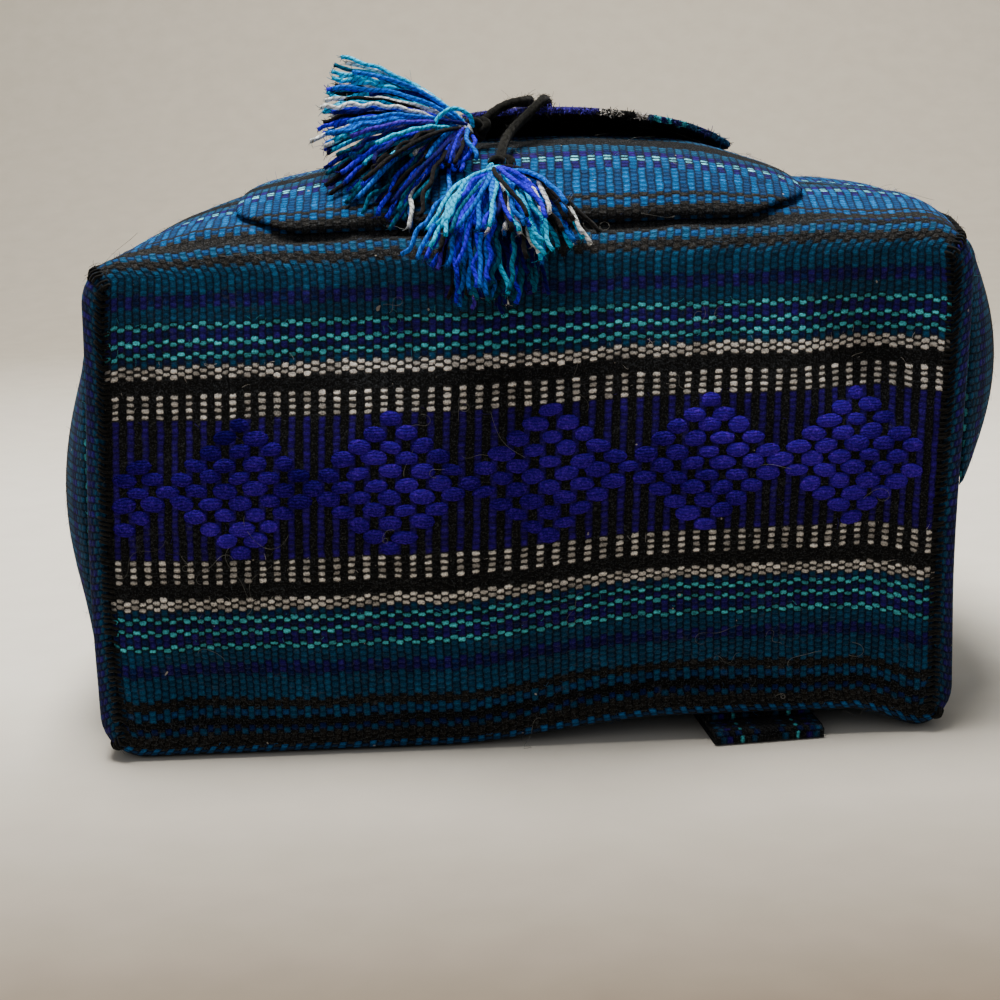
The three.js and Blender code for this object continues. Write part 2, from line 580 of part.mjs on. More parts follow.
// A round bar along a curve, closed at both ends. radiusAt takes a share of the curve.
function bar(curve, steps, sides, radiusAt) {
  const frames = curve.computeFrenetFrames(steps, false);
  const points = [];
  const faces = [];
  for (let i = 0; i <= steps; i += 1) {
    const centre = curve.getPoint(i / steps);
    for (let k = 0; k < sides; k += 1) {
      const a = 2 * Math.PI * k / sides;
      const out = frames.normals[i].clone().multiplyScalar(Math.cos(a));
      out.addScaledVector(frames.binormals[i], Math.sin(a));
      points.push(centre.clone().addScaledVector(out, radiusAt(i / steps)));
    }
  }
  const at = (i, k) => i * sides + (k % sides);
  const first = points.push(curve.getPoint(0)) - 1;
  const last = points.push(curve.getPoint(1)) - 1;
  for (let k = 0; k < sides; k += 1) {
    faces.push(first, at(0, k + 1), at(0, k));
    faces.push(last, at(steps, k), at(steps, k + 1));
    for (let i = 0; i < steps; i += 1) {
      faces.push(at(i, k), at(i, k + 1), at(i + 1, k + 1));
      faces.push(at(i, k), at(i + 1, k + 1), at(i + 1, k));
    }
  }
  const geometry = new THREE.BufferGeometry().setFromPoints(points);
  geometry.setIndex(faces);
  geometry.computeVertexNormals();
  return geometry;
}

function makeCord(name, places) {
  const points = places.map((place) => new THREE.Vector3(...place));
  const curve = new THREE.CatmullRomCurve3(points, false, 'centripetal');
  curve.arcLengthDivisions = 400;
  const even = new THREE.CatmullRomCurve3(curve.getSpacedPoints(CORD_STEPS), false, 'centripetal');
  const mesh = new THREE.Mesh(bar(even, CORD_STEPS, CORD_SIDES, () => CORD / 2), cordBlack);
  mesh.name = name;
  return mesh;
}

// A tassel: a bound head and the outer form of its strands in thick locks, joined into one body.
function toSolid(geometry) {
  const merged = mergeVertices(new THREE.BufferGeometry()
    .setAttribute('position', geometry.getAttribute('position')).setIndex(geometry.index), 1e-4);
  return new wasm.Manifold(new wasm.Mesh({
    numProp: 3,
    vertProperties: merged.getAttribute('position').array,
    triVerts: new Uint32Array(merged.index.array),
  }));
}

function makeTassel(name, neck, locks, carriers) {
  const caster = new THREE.Raycaster();
  const down = new THREE.Vector3(0, 0, -1);
  const clearOf = (point, clearance) => {
    caster.set(new THREE.Vector3(point.x, point.y, 2 * DEPTH), down);
    const hit = caster.intersectObjects(carriers)[0];
    const low = hit && point.y > 0 ? hit.point.z + clearance : -Infinity;
    return new THREE.Vector3(point.x, point.y, Math.max(point.z, low));
  };
  const start = new THREE.Vector3(...neck);
  let solid = toSolid(new THREE.SphereGeometry(HEAD / 2, 10, 6).translate(...neck));
  for (const { turn, lift, reach, thick } of locks) {
    const toward = (slope, length) => new THREE.Vector3(length * TASSEL_LENGTH, 0, 0)
      .applyAxisAngle(new THREE.Vector3(0, -1, 0), THREE.MathUtils.degToRad(slope))
      .applyAxisAngle(new THREE.Vector3(0, 0, 1), THREE.MathUtils.degToRad(turn))
      .add(start);
    const bend = new THREE.QuadraticBezierCurve3(start, toward(lift + BEND, reach * 0.5), toward(lift, reach));
    const radius = LOCK * thick / 2;
    const spread = (share) => radius * (0.5 + 0.5 * smooth(share, 0, 0.7));
    const clearance = (share) => (share < 0.1 ? 0 : spread(share) + LOCK_CLEARANCE);
    const places = shares(4).map((share) => clearOf(bend.getPoint(share), clearance(share)));
    const curve = new THREE.CatmullRomCurve3(places, false, 'centripetal');
    solid = solid.add(toSolid(bar(curve, 5, 5, spread)));
  }
  const made = solid.getMesh();
  const geometry = new THREE.BufferGeometry();
  geometry.setAttribute('position', new THREE.BufferAttribute(made.vertProperties, 3));
  geometry.setIndex(new THREE.BufferAttribute(made.triVerts, 1));
  geometry.computeVertexNormals();
  const mesh = new THREE.Mesh(geometry, yarnBlue);
  mesh.name = name;
  return mesh;
}

// Assembly
const bag = new THREE.Group();
bag.add(
  makeWrap(),
  makeGusset('left'),
  makeGusset('right'),
  makeFrontPocket(),
  makePocketFlap(),
  makeSidePocket('side_pocket_left', 'left', LEFT_POCKET),
  makeSidePocket('side_pocket_right', 'right', RIGHT_POCKET),
  ...STRAPS.map(makeStrap),
  makeCord('drawcord_left', LEFT_CORD),
  makeCord('drawcord_right', RIGHT_CORD),
);
const carriers = ['body_wrap', 'front_pocket', 'pocket_flap'].map((name) => bag.getObjectByName(name));
bag.add(
  makeTassel('tassel_left', LEFT_NECK, LEFT_LOCKS, carriers),
  makeTassel('tassel_front', FRONT_NECK, FRONT_LOCKS, carriers),
);

// The origin moves to the bottom centre of the sewn bag.
const loose = ['drawcord_left', 'drawcord_right', 'tassel_left', 'tassel_front'];
const box = new THREE.Box3();
bag.children.filter((mesh) => !loose.includes(mesh.name)).forEach((mesh) => box.expandByObject(mesh));
const middle = box.getCenter(new THREE.Vector3());
bag.position.set(-middle.x, -middle.y, -box.min.z);

export default bag;
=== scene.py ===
# %% [markdown]
# A small handwoven backpack with a drawstring mouth, lying on its back. It is sewn from heavy
# striped cloth: one long wrap that runs up the back, under the base and up the front, a gusset on
# each side, a pocket with a flap on the front and a pocket on each gusset. Two drawcords come out
# of the mouth, run over the front and end in tassels. Everything here is built on the packed
# model, which holds the same pieces as plain walls.

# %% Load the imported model
import math

import bmesh
import bpy
import numpy as np
from mathutils import Matrix, Vector
from mathutils.bvhtree import BVHTree
from mathutils.noise import noise_vector


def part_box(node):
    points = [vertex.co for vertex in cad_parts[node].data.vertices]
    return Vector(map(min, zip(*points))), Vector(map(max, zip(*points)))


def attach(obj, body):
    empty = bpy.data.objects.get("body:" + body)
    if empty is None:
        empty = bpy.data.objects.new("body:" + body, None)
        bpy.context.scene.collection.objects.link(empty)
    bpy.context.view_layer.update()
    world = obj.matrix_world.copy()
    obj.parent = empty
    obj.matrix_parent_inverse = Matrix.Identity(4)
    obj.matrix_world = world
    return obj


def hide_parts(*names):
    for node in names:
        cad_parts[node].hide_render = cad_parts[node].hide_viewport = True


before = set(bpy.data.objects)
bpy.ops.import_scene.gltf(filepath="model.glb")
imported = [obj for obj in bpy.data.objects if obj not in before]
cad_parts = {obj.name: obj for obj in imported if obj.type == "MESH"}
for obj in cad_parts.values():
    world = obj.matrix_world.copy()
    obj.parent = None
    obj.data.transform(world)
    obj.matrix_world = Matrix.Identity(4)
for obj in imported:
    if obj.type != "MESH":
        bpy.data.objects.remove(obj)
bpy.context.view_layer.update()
print("nodes:", ", ".join(sorted(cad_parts)))

# %% [markdown]
# The sewn shape is described in the bag's own millimetres: x runs across it, t runs from the base
# to the mouth and z is up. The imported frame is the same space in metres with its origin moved, so
# one offset joins the two. It is worked out from the right strap's box, because that strap's
# numbers are known here, so the pieces follow the model if it is moved.

# %% From the bag's millimetres to the frame's metres
WIDTH = 340.0            # base, from gusset to gusset
DEPTH = 200.0            # base, from the back panel up to the front panel
LENGTH = 392.0           # from the base to the lip of the drawn mouth
CLOTH = 2.5              # heavy woven cloth
HEM = 3.2
HEM_LENGTH = 24.0
ROLL = 8.0               # radius of the soft edge round the base
MOUTH_RADIUS = 48.0
PLEAT_DEPTH = 9.5
PLEATS_WIDE = 5
PLEATS_DEEP = 3
SWELL = 18.0
SWAY = 6.5
BASE_CROWN = 7.0
LEFT_BULGE = 4.0
RIGHT_BULGE = 6.0
SEAM_GAP = 0.5
SEAT = 0.6

STRAP_WIDTH = 44.0
STRAP = 2.4              # two layers of thin cloth
STRAP_FOLD_GAP = 0.6
STRAP_PITCH = STRAP + STRAP_FOLD_GAP
STRAP_SPLAY = math.radians(6.5)
# name, side, x, front, outer slope, inner slope
STRAPS = (("strap_left", -1, -0.27 * WIDTH, 0.26 * DEPTH, 60, 46),
          ("strap_right", 1, 0.282 * WIDTH, -0.025 * DEPTH, 34, 96))

fold_reach = (STRAP_PITCH + STRAP) / 2
strap_edge = (STRAPS[1][2] + STRAP_WIDTH / 2 * math.cos(STRAP_SPLAY)
              + fold_reach * math.sin(STRAP_SPLAY))
origin_x = 1000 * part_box("strap_right")[1][0] - strap_edge
origin_t = 1000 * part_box("gusset_left")[0][1]
ORIGIN = np.array([origin_x, origin_t, 0.0])
print("origin, mm:", np.round(ORIGIN, 2))


def to_frame(points):
    """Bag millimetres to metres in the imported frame."""
    return (np.asarray(points, float) + ORIGIN) / 1000


# %% [markdown]
# The camera stands low in front of the base and looks slightly down, as the photograph does, and
# the horizon leans by two degrees. The lens was worked out from the width of the base in the
# picture and its distance, so the picture's frame needs no shift.

# %% Camera
CAMERA_PLACE = (-7.3, -700.0, 250.0)      # bag millimetres
CAMERA_PITCH = 12.0                       # degrees below the horizon
CAMERA_ROLL = 2.2                         # degrees
PICTURE = 1000                            # pixels on each side
FOCAL_PIXELS = 1848
SENSOR = 36.0

camera_data = bpy.data.cameras.new("camera")
camera_data.sensor_width = SENSOR
camera_data.lens = FOCAL_PIXELS / PICTURE * SENSOR
camera = bpy.data.objects.new("camera", camera_data)
bpy.context.scene.collection.objects.link(camera)
camera.location = Vector(to_frame(CAMERA_PLACE))
pitch, roll = math.radians(CAMERA_PITCH), math.radians(CAMERA_ROLL)
turned = Matrix.Rotation(math.pi / 2 - pitch, 3, "X") @ Matrix.Rotation(-roll, 3, "Z")
camera.rotation_euler = turned.to_euler()
bpy.context.scene.camera = camera
print("lens, mm:", round(camera_data.lens, 1))

# %% [markdown]
# All the cloth follows one set of curves. Each table row is a cross-section of the bag, and a
# smooth curve through each column gives the section anywhere between. The same tables shape the
# plain walls of the model, so every piece lies on them.

# %% Tables of the sewn shape
MOUTH_HALF = MOUTH_RADIUS / (WIDTH / 2)
MOUTH_CORNER = MOUTH_RADIUS / DEPTH
MOUTH_FLOOR = 0.17
MOUTH_TOP = MOUTH_FLOOR + 2 * MOUTH_CORNER
SECTION_COLUMNS = ("along", "left", "right", "floor", "top", "corner", "seam", "gather")
SECTIONS = np.array([
    (0.00, 1.00, 1.00, 0.00, 1.00, 0.085, 45, 0),
    (0.12, 1.02, 1.03, 0.00, 1.00, 0.11, 45, 0),
    (0.30, 1.03, 1.04, 0.00, 1.00, 0.17, 45, 0),
    (0.55, 1.00, 1.01, 0.00, 0.98, 0.22, 45, 0),
    (0.72, 0.93, 0.94, 0.00, 0.92, 0.28, 45, 0.1),
    (0.83, 0.78, 0.79, 0.02, 0.86, 0.34, 46, 0.35),
    (0.91, 0.54, 0.54, 0.08, 0.79, 0.33, 52, 0.75),
    (0.965, MOUTH_HALF, MOUTH_HALF, MOUTH_FLOOR, MOUTH_TOP, MOUTH_CORNER, 57, 1),
    (1.00, MOUTH_HALF, MOUTH_HALF, MOUTH_FLOOR, MOUTH_TOP, MOUTH_CORNER, 57, 1),
])
SWELL_ACROSS = np.array([
    (-1, -0.1), (-0.93, 0), (-0.82, 0.45), (-0.68, 0.9), (-0.5, 1), (0, 1), (0.45, 0.97),
    (0.62, 0.88), (0.8, 0.72), (0.92, 0.5), (1, 0.32),
])
SWELL_ALONG = np.array([
    (0, 0), (0.04, 0.35), (0.12, 0.85), (0.22, 1), (0.45, 1), (0.65, 0.7), (0.83, 0.15),
    (0.91, 0), (1, 0),
])
# across, up, reach, tall, deep
BASE_DENTS = ((0.86, 0.80, 0.22, 0.24, 1.7), (-0.35, 0.86, 0.35, 0.13, 0.5),
              (-0.82, 0.10, 0.18, 0.14, 1.1), (0.35, 0.05, 0.40, 0.12, 0.9))
# along, from, to, wide, deep
FRONT_CREASES = ((0.036, -0.84, 0.62, 0.016, 0.28), (0.64, -0.70, 0.10, 0.05, 0.30),
                 (0.74, 0.05, 0.80, 0.045, 0.34))
POCKET_ACROSS = np.array([
    (0, 0), (0.08, 0.22), (0.2, 0.55), (0.36, 0.9), (0.55, 1), (0.8, 0.8), (0.93, 0.34), (1, 0),
])
POCKET_ALONG = np.array([
    (0, 0), (0.07, 0.36), (0.18, 0.78), (0.32, 1), (0.55, 0.98), (0.8, 0.86), (1, 0.74),
])
SIDE_POCKET_ALONG = np.array([(0, 0), (0.08, 0.42), (0.2, 0.82), (0.4, 1), (0.7, 0.86), (1, 0.66)])


def clamp(value, low, high):
    return np.minimum(np.maximum(value, low), high)


def smooth(value, low, high):
    """0 below low, 1 above high and a soft step between."""
    share = clamp((value - low) / (high - low), 0, 1)
    return share * share * (3 - 2 * share)


def bump(distance):
    """A soft round bump, 1 in the middle and 0 from its edge on."""
    return np.where(np.abs(distance) < 1, (1 + np.cos(np.pi * clamp(distance, -1, 1))) / 2, 0)


def read(table, place, column=1):
    """A smooth curve through a column of a table, read at places in its first column."""
    keys, values = table[:, 0], table[:, column]
    last = len(keys) - 1
    at = clamp(np.asarray(place, float), keys[0], keys[-1])
    k = clamp(np.searchsorted(keys, at, side="left") - 1, 0, last - 1)
    low, high = np.maximum(np.arange(last + 1) - 1, 0), np.minimum(np.arange(last + 1) + 1, last)
    slope = (values[high] - values[low]) / (keys[high] - keys[low])
    span = keys[k + 1] - keys[k]
    u = (at - keys[k]) / span
    return (values[k] * (1 + 2 * u) * (1 - u) ** 2 + values[k + 1] * u * u * (3 - 2 * u)
            + span * (slope[k] * u * (1 - u) ** 2 - slope[k + 1] * u * u * (1 - u)))


# %% [markdown]
# Under the back lie the two folded straps, and the back panel rides over them.

# %% How far the straps lift the back panel
STRAP_REACH = 335.0      # from the strap's front fold to where its upper end is sewn
STRAP_BACK_FOLD = 168.0  # from the front fold to the fold under the middle
STRAP_LOWER_END = 14.0   # from the front fold to where its lower end is sewn
STRAP_STACK = 3 * STRAP + 2 * STRAP_FOLD_GAP
SLOPE_MARGIN = 12
SINGLE_SLOPE = 16


def strap_lift(x, t):
    lift = np.zeros(np.broadcast(x, t).shape)
    for _, side, place, front, outer, inner in STRAPS:
        dx, dt = x - place, t - front
        along = dt * math.cos(STRAP_SPLAY) - side * dx * math.sin(STRAP_SPLAY)
        across = side * dx * math.cos(STRAP_SPLAY) + dt * math.sin(STRAP_SPLAY)
        level = STRAP_WIDTH / 2 + SLOPE_MARGIN
        slope = np.where(across > 0, outer, inner)
        beside = 1 - smooth(np.abs(across), level, level + slope)
        beside_single = 1 - smooth(np.abs(across), level, level + SINGLE_SLOPE)
        before = smooth(along, -36, -8)
        stacked = before * (1 - smooth(along, STRAP_BACK_FOLD + 14, STRAP_BACK_FOLD + 60))
        single = before * (1 - smooth(along, STRAP_REACH + 8, STRAP_REACH + 30))
        lift = np.maximum(lift, (STRAP_STACK + SEAT) * stacked * beside)
        lift = np.maximum(lift, (STRAP + SEAT) * single * beside_single)
    return lift


# %% [markdown]
# A point of the cloth is found by its side, its share of the way from seam to seam and its
# distance along the cloth from the base's edge. The functions take whole arrays, so a panel of
# thirty thousand points is placed at once.

# %% The surface of the bag
ROLL_LENGTH = ROLL * math.pi / 2
CLOTH_LENGTH = ROLL_LENGTH + LENGTH - ROLL
BASE_HEIGHT = DEPTH - 2 * ROLL


def section_at(distance):
    turn = np.minimum(np.pi / 2, distance / ROLL)
    t = ROLL * (1 - np.cos(turn)) + np.maximum(0, distance - ROLL_LENGTH)
    inset = ROLL * (1 - np.sin(turn))
    s = {name: read(SECTIONS, t / LENGTH, k) for k, name in enumerate(SECTION_COLUMNS) if k}
    left, right = s["left"] * WIDTH / 2 - inset, s["right"] * WIDTH / 2 - inset
    floor, top = np.maximum(0, s["floor"] * DEPTH) + inset, s["top"] * DEPTH - inset
    corner = np.minimum(np.minimum(s["corner"] * DEPTH - inset, (left + right) / 2), (top - floor) / 2)
    gather = np.maximum(0, s["gather"]) * PLEAT_DEPTH
    return t, left, right, floor, top, corner, np.radians(s["seam"]), gather


def sway_at(z, t):
    return SWAY * smooth(z, 0.25 * DEPTH, DEPTH) * (1 - smooth(t, 0.5 * LENGTH, 0.85 * LENGTH))


def front_rise(x, t, left, right):
    across = np.where(x < 0, x / left, x / right)
    along = t / LENGTH
    rise = read(SWELL_ACROSS, across) * read(SWELL_ALONG, along)
    for place, start, end, wide, deep in FRONT_CREASES:
        inside = smooth(across, start - 0.12, start + 0.12) * (1 - smooth(across, end - 0.12, end + 0.12))
        rise = rise - deep * inside * bump((along - place) / wide)
    return SWELL * rise


def body_point(side, share, distance):
    """Points on the back, front, left or right side of the body."""
    share, distance = np.broadcast_arrays(np.asarray(share, float), np.asarray(distance, float))
    t, left, right, floor, top, corner, seam, gather = section_at(distance)
    wide = side in ("front", "back")
    straight = (left + right if wide else top - floor) - 2 * corner
    arc_turn = seam if wide else np.pi / 2 - seam
    arc = corner * arc_turn
    total = straight + 2 * arc
    d = SEAM_GAP / 2 + share * (total - SEAM_GAP)
    turn = np.where(d < arc, d / corner - arc_turn, np.maximum(0, d - arc - straight) / corner)
    level = clamp(d - arc, 0, straight) - straight / 2
    radius = corner + gather * np.cos(2 * np.pi * (PLEATS_WIDE if wide else PLEATS_DEEP) * share)
    u = level + radius * np.sin(turn)
    w = radius * np.cos(turn) - corner
    centre_x, centre_z = (right - left) / 2, (top + floor) / 2
    x, z = {
        "front": (centre_x + u, top + w), "right": (right + w, centre_z - u),
        "back": (centre_x - u, floor - w), "left": (-left - w, centre_z + u),
    }[side]
    upper = smooth(z, 0.2 * DEPTH, 0.8 * DEPTH)
    height = np.maximum(0, z) + front_rise(x, t, left, right) * upper + strap_lift(x, t) * (1 - upper)
    out = 0
    if not wide:
        seam_inset = corner * (1 - np.sin(seam))
        up = clamp((z - floor - seam_inset) / (top - floor - 2 * seam_inset), 0, 1)
        along = smooth(t, ROLL, 60) * (1 - smooth(t, 0.6 * LENGTH, 0.85 * LENGTH))
        bulge = LEFT_BULGE if side == "left" else RIGHT_BULGE
        out = np.sign(x) * bulge * np.sin(np.pi * up) ** 2 * along
    return np.stack([x + out + sway_at(height, t), t, height], axis=-1)


def base_point(f, g):
    """Points on the base, from its left edge to its right one and from the back to the front."""
    f, g = np.broadcast_arrays(np.asarray(f, float), np.asarray(g, float))
    low, high = body_point("back", 1 - f, 0.0 * g), body_point("front", f, 0.0 * g)
    low[..., 0] -= sway_at(low[..., 2], 0)
    high[..., 0] -= sway_at(high[..., 2], 0)
    point = low + (high - low) * g[..., None]
    across, up = 2 * f - 1, 2 * g - 1
    corner_fill = section_at(np.array(0.0))[5] * (1 - math.sqrt(0.5)) - SEAM_GAP
    point[..., 0] += np.sign(across) * corner_fill * across ** 8 * (1 - up ** 8)
    belly = (1 - across ** 4) * (1 - up ** 2) ** 2
    for place, height, reach, tall, deep in BASE_DENTS:
        away = np.hypot((across - place) / reach, (g - height) / tall)
        belly = belly - deep * bump(away) * (1 - across ** 8) * (1 - up ** 8)
    point[..., 1] -= BASE_CROWN * belly
    point[..., 0] += sway_at(point[..., 2], 0)
    return point


def normals_of(face, u, v, step=0.002):
    """Outward normals of a surface given by a function of two shares."""
    across = face(np.minimum(1, u + step), v) - face(np.maximum(0, u - step), v)
    along = face(u, np.minimum(1, v + step)) - face(u, np.maximum(0, v - step))
    normal = np.cross(across, along)
    return normal / np.maximum(1e-9, np.linalg.norm(normal, axis=-1, keepdims=True))


middle = base_point(0.5, 0.5)
print("middle of the base, mm:", np.round(middle, 1), "cloth length:", round(CLOTH_LENGTH, 1))

# %% [markdown]
# Each cloth panel starts as a flat grid, as a loom makes it. Its points are then moved to where
# the sewn panel lies, and its UV map keeps the flat cloth's own millimetres, so the weave runs
# with the threads however the panel is bent. A Solidify modifier gives it the cloth's thickness.

# %% A woven panel from a flat grid
BODY = "root"


def grid_mesh(name, columns, rows):
    """A flat grid of the given numbers of faces, and each point's two shares."""
    bm = bmesh.new()
    bmesh.ops.create_grid(bm, x_segments=columns, y_segments=rows, size=0.5)
    mesh = bpy.data.meshes.new(name)
    bm.to_mesh(mesh)
    bm.free()
    flat = np.empty(len(mesh.vertices) * 3)
    mesh.vertices.foreach_get("co", flat)
    flat = flat.reshape(-1, 3) + 0.5
    return mesh, flat[:, 0], flat[:, 1]


def set_uv(mesh, uv):
    """Gives a mesh a UV map from one pair of values for each point."""
    corner = np.empty(len(mesh.loops), int)
    mesh.loops.foreach_get("vertex_index", corner)
    layer = mesh.uv_layers.new(name="UVMap")
    layer.data.foreach_set("uv", np.ascontiguousarray(uv[corner], dtype=np.float32).ravel())


def shown(name, mesh, *materials):
    """Puts a mesh in the scene as a smooth piece that rides on the bag."""
    for material in materials:
        mesh.materials.append(material)
    mesh.polygons.foreach_set("use_smooth", np.ones(len(mesh.polygons), bool))
    mesh.update()
    piece = bpy.data.objects.new(name, mesh)
    bpy.context.scene.collection.objects.link(piece)
    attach(piece, BODY)
    return piece


def woven_panel(name, columns, rows, place, chart, thickness, materials, thin=None):
    """place turns two shares into points in millimetres and chart into the cloth's own. thin
    gives the share of its thickness that the cloth keeps, where an edge is turned in."""
    mesh, u, v = grid_mesh(name, columns, rows)
    mesh.vertices.foreach_set("co", to_frame(place(u, v)).ravel())
    flat = np.stack(chart(u, v), axis=-1)
    set_uv(mesh, flat)
    piece = shown(name, mesh, *materials)
    wall = piece.modifiers.new("thickness", "SOLIDIFY")
    wall.thickness = thickness / 1000
    wall.offset = -1
    if len(materials) > 1:
        wall.material_offset = 1
    if thin is not None:
        kept = piece.vertex_groups.new(name="thickness")
        for k, share in enumerate(thin(u, v)):
            kept.add([k], float(share), "REPLACE")
        wall.vertex_group = kept.name
        wall.thickness_vertex_group = 0
    return piece


EDGE_TURN = 7.0          # how far a turned-in edge tapers
EDGE_SHARE = 0.22        # of the cloth's thickness that is left at its edge


def turned_in(u, v, wide, long):
    """Share of the thickness near three sewn edges: both sides and the lower one."""
    away = np.minimum(np.minimum(u, 1 - u) * wide, v * long) / EDGE_TURN
    return EDGE_SHARE + (1 - EDGE_SHARE) * np.sqrt(1 - (1 - clamp(away, 0, 1)) ** 2)


# %% [markdown]
# Hand weaving is never quite even. A few sine waves of about one size, in random directions, make
# a soft unevenness, and a fixed seed keeps it the same in every run.

# %% Soft unevenness of hand weaving
def waves(seed, size, count=10):
    """A smooth random function of two lengths in mm, from -1 to 1, with waves of about one size."""
    draw = np.random.default_rng(seed)
    angle = draw.uniform(0, 2 * np.pi, count)
    pitch = size * draw.uniform(0.7, 1.5, count)
    phase = draw.uniform(0, 2 * np.pi, count)

    def value(a, b):
        total = 0
        for k in range(count):
            run = a * np.cos(angle[k]) + b * np.sin(angle[k])
            total = total + np.sin(2 * np.pi * run / pitch[k] + phase[k])
        return total / count * 2
    return value


# %% [markdown]
# Shader maths reads best as plain expressions. A small class stands for a socket, and adding or
# multiplying two of them adds the Math node.

# %% Sockets as numbers
class Value:
    """An output socket, or a number, that takes part in shader maths."""

    def __init__(self, tree, socket):
        self.tree, self.socket = tree, socket

    def math(self, operation, *others):
        return self.tree.node("ShaderNodeMath", {"operation": operation}, {
            k: other for k, other in enumerate((self, *others))})

    def __add__(self, other): return self.math("ADD", other)
    def __radd__(self, other): return self.math("ADD", other)
    def __sub__(self, other): return self.math("SUBTRACT", other)
    def __rsub__(self, other): return self.math("MULTIPLY_ADD", -1.0, other)
    def __mul__(self, other): return self.math("MULTIPLY", other)
    def __rmul__(self, other): return self.math("MULTIPLY", other)
    def __truediv__(self, other): return self.math("DIVIDE", other)
    def __pow__(self, other): return self.math("POWER", other)
    def floor(self): return self.math("FLOOR")
    def fraction(self): return self.math("FRACT")
    def size(self): return self.math("ABSOLUTE")
    def below(self, other): return self.math("LESS_THAN", other)
    def above(self, other): return self.math("GREATER_THAN", other)
    def most(self, other): return self.math("MAXIMUM", other)
    def least(self, other): return self.math("MINIMUM", other)


class Finish:
    """A material being built: one method adds any node."""

    def __init__(self, name):
        self.material = bpy.data.materials.new(name)
        self.material.use_nodes = True
        self.nodes = self.material.node_tree.nodes
        self.links = self.material.node_tree.links
        self.shader = self.nodes["Principled BSDF"]

    def node(self, kind, settings=None, inputs=None, output=0):
        made = self.nodes.new(kind)
        for key, value in (settings or {}).items():
            if key == "stops":
                fill_ramp(made.color_ramp, value)
            else:
                setattr(made, key, value)
        for key, value in (inputs or {}).items():
            self.feed(made.inputs[key], value)
        return Value(self, made.outputs[output])

    def feed(self, socket, value):
        if isinstance(value, Value):
            self.links.new(value.socket, socket)
        else:
            socket.default_value = value

    def set(self, **values):
        """Sets or feeds the shader's sockets, named with _ for a space."""
        for key, value in values.items():
            self.feed(self.shader.inputs[key.replace("_", " ")], value)

    def mix(self, share, first, second, blend="MIX"):
        return self.node("ShaderNodeMix", {"data_type": "RGBA", "blend_type": blend},
                         {0: share, 6: first, 7: second}, output=2)

    def scaled(self, colour, amount):
        """A colour times a number."""
        return self.node("ShaderNodeVectorMath", {"operation": "SCALE"}, {0: colour, "Scale": amount})

    def vector(self, x, y, z=0.0):
        return self.node("ShaderNodeCombineXYZ", None, {0: x, 1: y, 2: z})

    def random(self, x, y, z=0.0):
        """A random number from 0 to 1 for each whole x, y and z."""
        return self.node("ShaderNodeTexWhiteNoise", {"noise_dimensions": "3D"}, {"Vector": self.vector(x, y, z)})

    def noise(self, place, scale, detail=2.0, rough=0.5):
        return self.node("ShaderNodeTexNoise", {"noise_dimensions": "3D"},
                         {"Vector": place, "Scale": scale, "Detail": detail, "Roughness": rough})


def fill_ramp(ramp, stops):
    """Constant steps from a list of (place, colour)."""
    ramp.interpolation = "CONSTANT"
    while len(ramp.elements) > 1:
        ramp.elements.remove(ramp.elements[-1])
    ramp.elements[0].position, ramp.elements[0].color = stops[0]
    for place, colour in stops[1:]:
        ramp.elements.new(place).color = colour


def rgb(red, green, blue):
    """A dyed yarn's colour from screen values, 0 to 255, as the shader wants it."""
    def linear(c):
        c = c / 255
        return c / 12.92 if c <= 0.04045 else ((c + 0.055) / 1.055) ** 2.4
    return (linear(red), linear(green), linear(blue), 1.0)

# %% [markdown]
# The cords come first. Each is a soft round cord of black wool, four millimetres thick, that
# leaves the hem at the middle of the mouth and lies over the front panel and the flap to the neck
# of its tassel. The route repeats the plain model's. A cord could be a bevelled curve, but a real
# one is three strands twisted together, so a grid is rolled up along the route with a radius that
# rises and falls over the strands.

# %% Routes of the cords
ASIDE = np.array([0.31, 0.52, 0.79])      # a direction that nothing here follows exactly
CORD = 4.0
LEFT_CORD = (
    (-2.3, 390.0, 131.0), (-2.3, 383.0, 131.6), (-2.8, 374.0, 139.6), (-4.2, 357.0, 158.9),
    (-7.4, 336.5, 173.7), (-12.0, 311.1, 185.2), (-13.0, 286.0, 195.3), (-10.0, 262.5, 202.1),
    (-4.0, 241.0, 206.8), (2.0, 225.0, 213.2), (7.0, 201.2, 224.9), (9.0, 180.6, 237.8),
    (8.0, 160.5, 242.1), (7.0, 140.5, 245.7), (8.0, 120.5, 249.0), (10.0, 100.2, 251.4),
    (11.0, 83.9, 252.2), (10.8, 75.9, 252.2), (8.0, 68.8, 252.0), (2.5, 64.6, 251.0),
    (-3.0, 61.8, 248.6), (-8.4, 58.4, 244.4),
)
RIGHT_CORD = (
    (2.3, 390.0, 131.0), (2.3, 383.0, 131.6), (3.2, 373.8, 139.9), (6.0, 356.7, 160.0),
    (11.0, 336.1, 174.4), (18.0, 310.6, 185.2), (23.0, 286.4, 193.6), (24.0, 262.7, 203.1),
    (21.0, 240.8, 208.1), (17.5, 224.8, 213.6), (16.0, 201.2, 224.8), (16.0, 180.6, 237.8),
    (18.0, 160.5, 242.1), (20.0, 140.5, 245.7), (20.0, 120.5, 249.0), (19.0, 100.2, 251.4),
    (17.5, 83.9, 252.3), (17.0, 75.9, 252.4), (15.8, 68.6, 251.8), (12.4, 63.2, 248.9),
    (8.2, 58.6, 245.2), (3.8, 53.0, 241.4), (0.6, 45.4, 237.6), (-1.4, 34.6, 233.0), (-2.2, 24.4, 228.6),
)


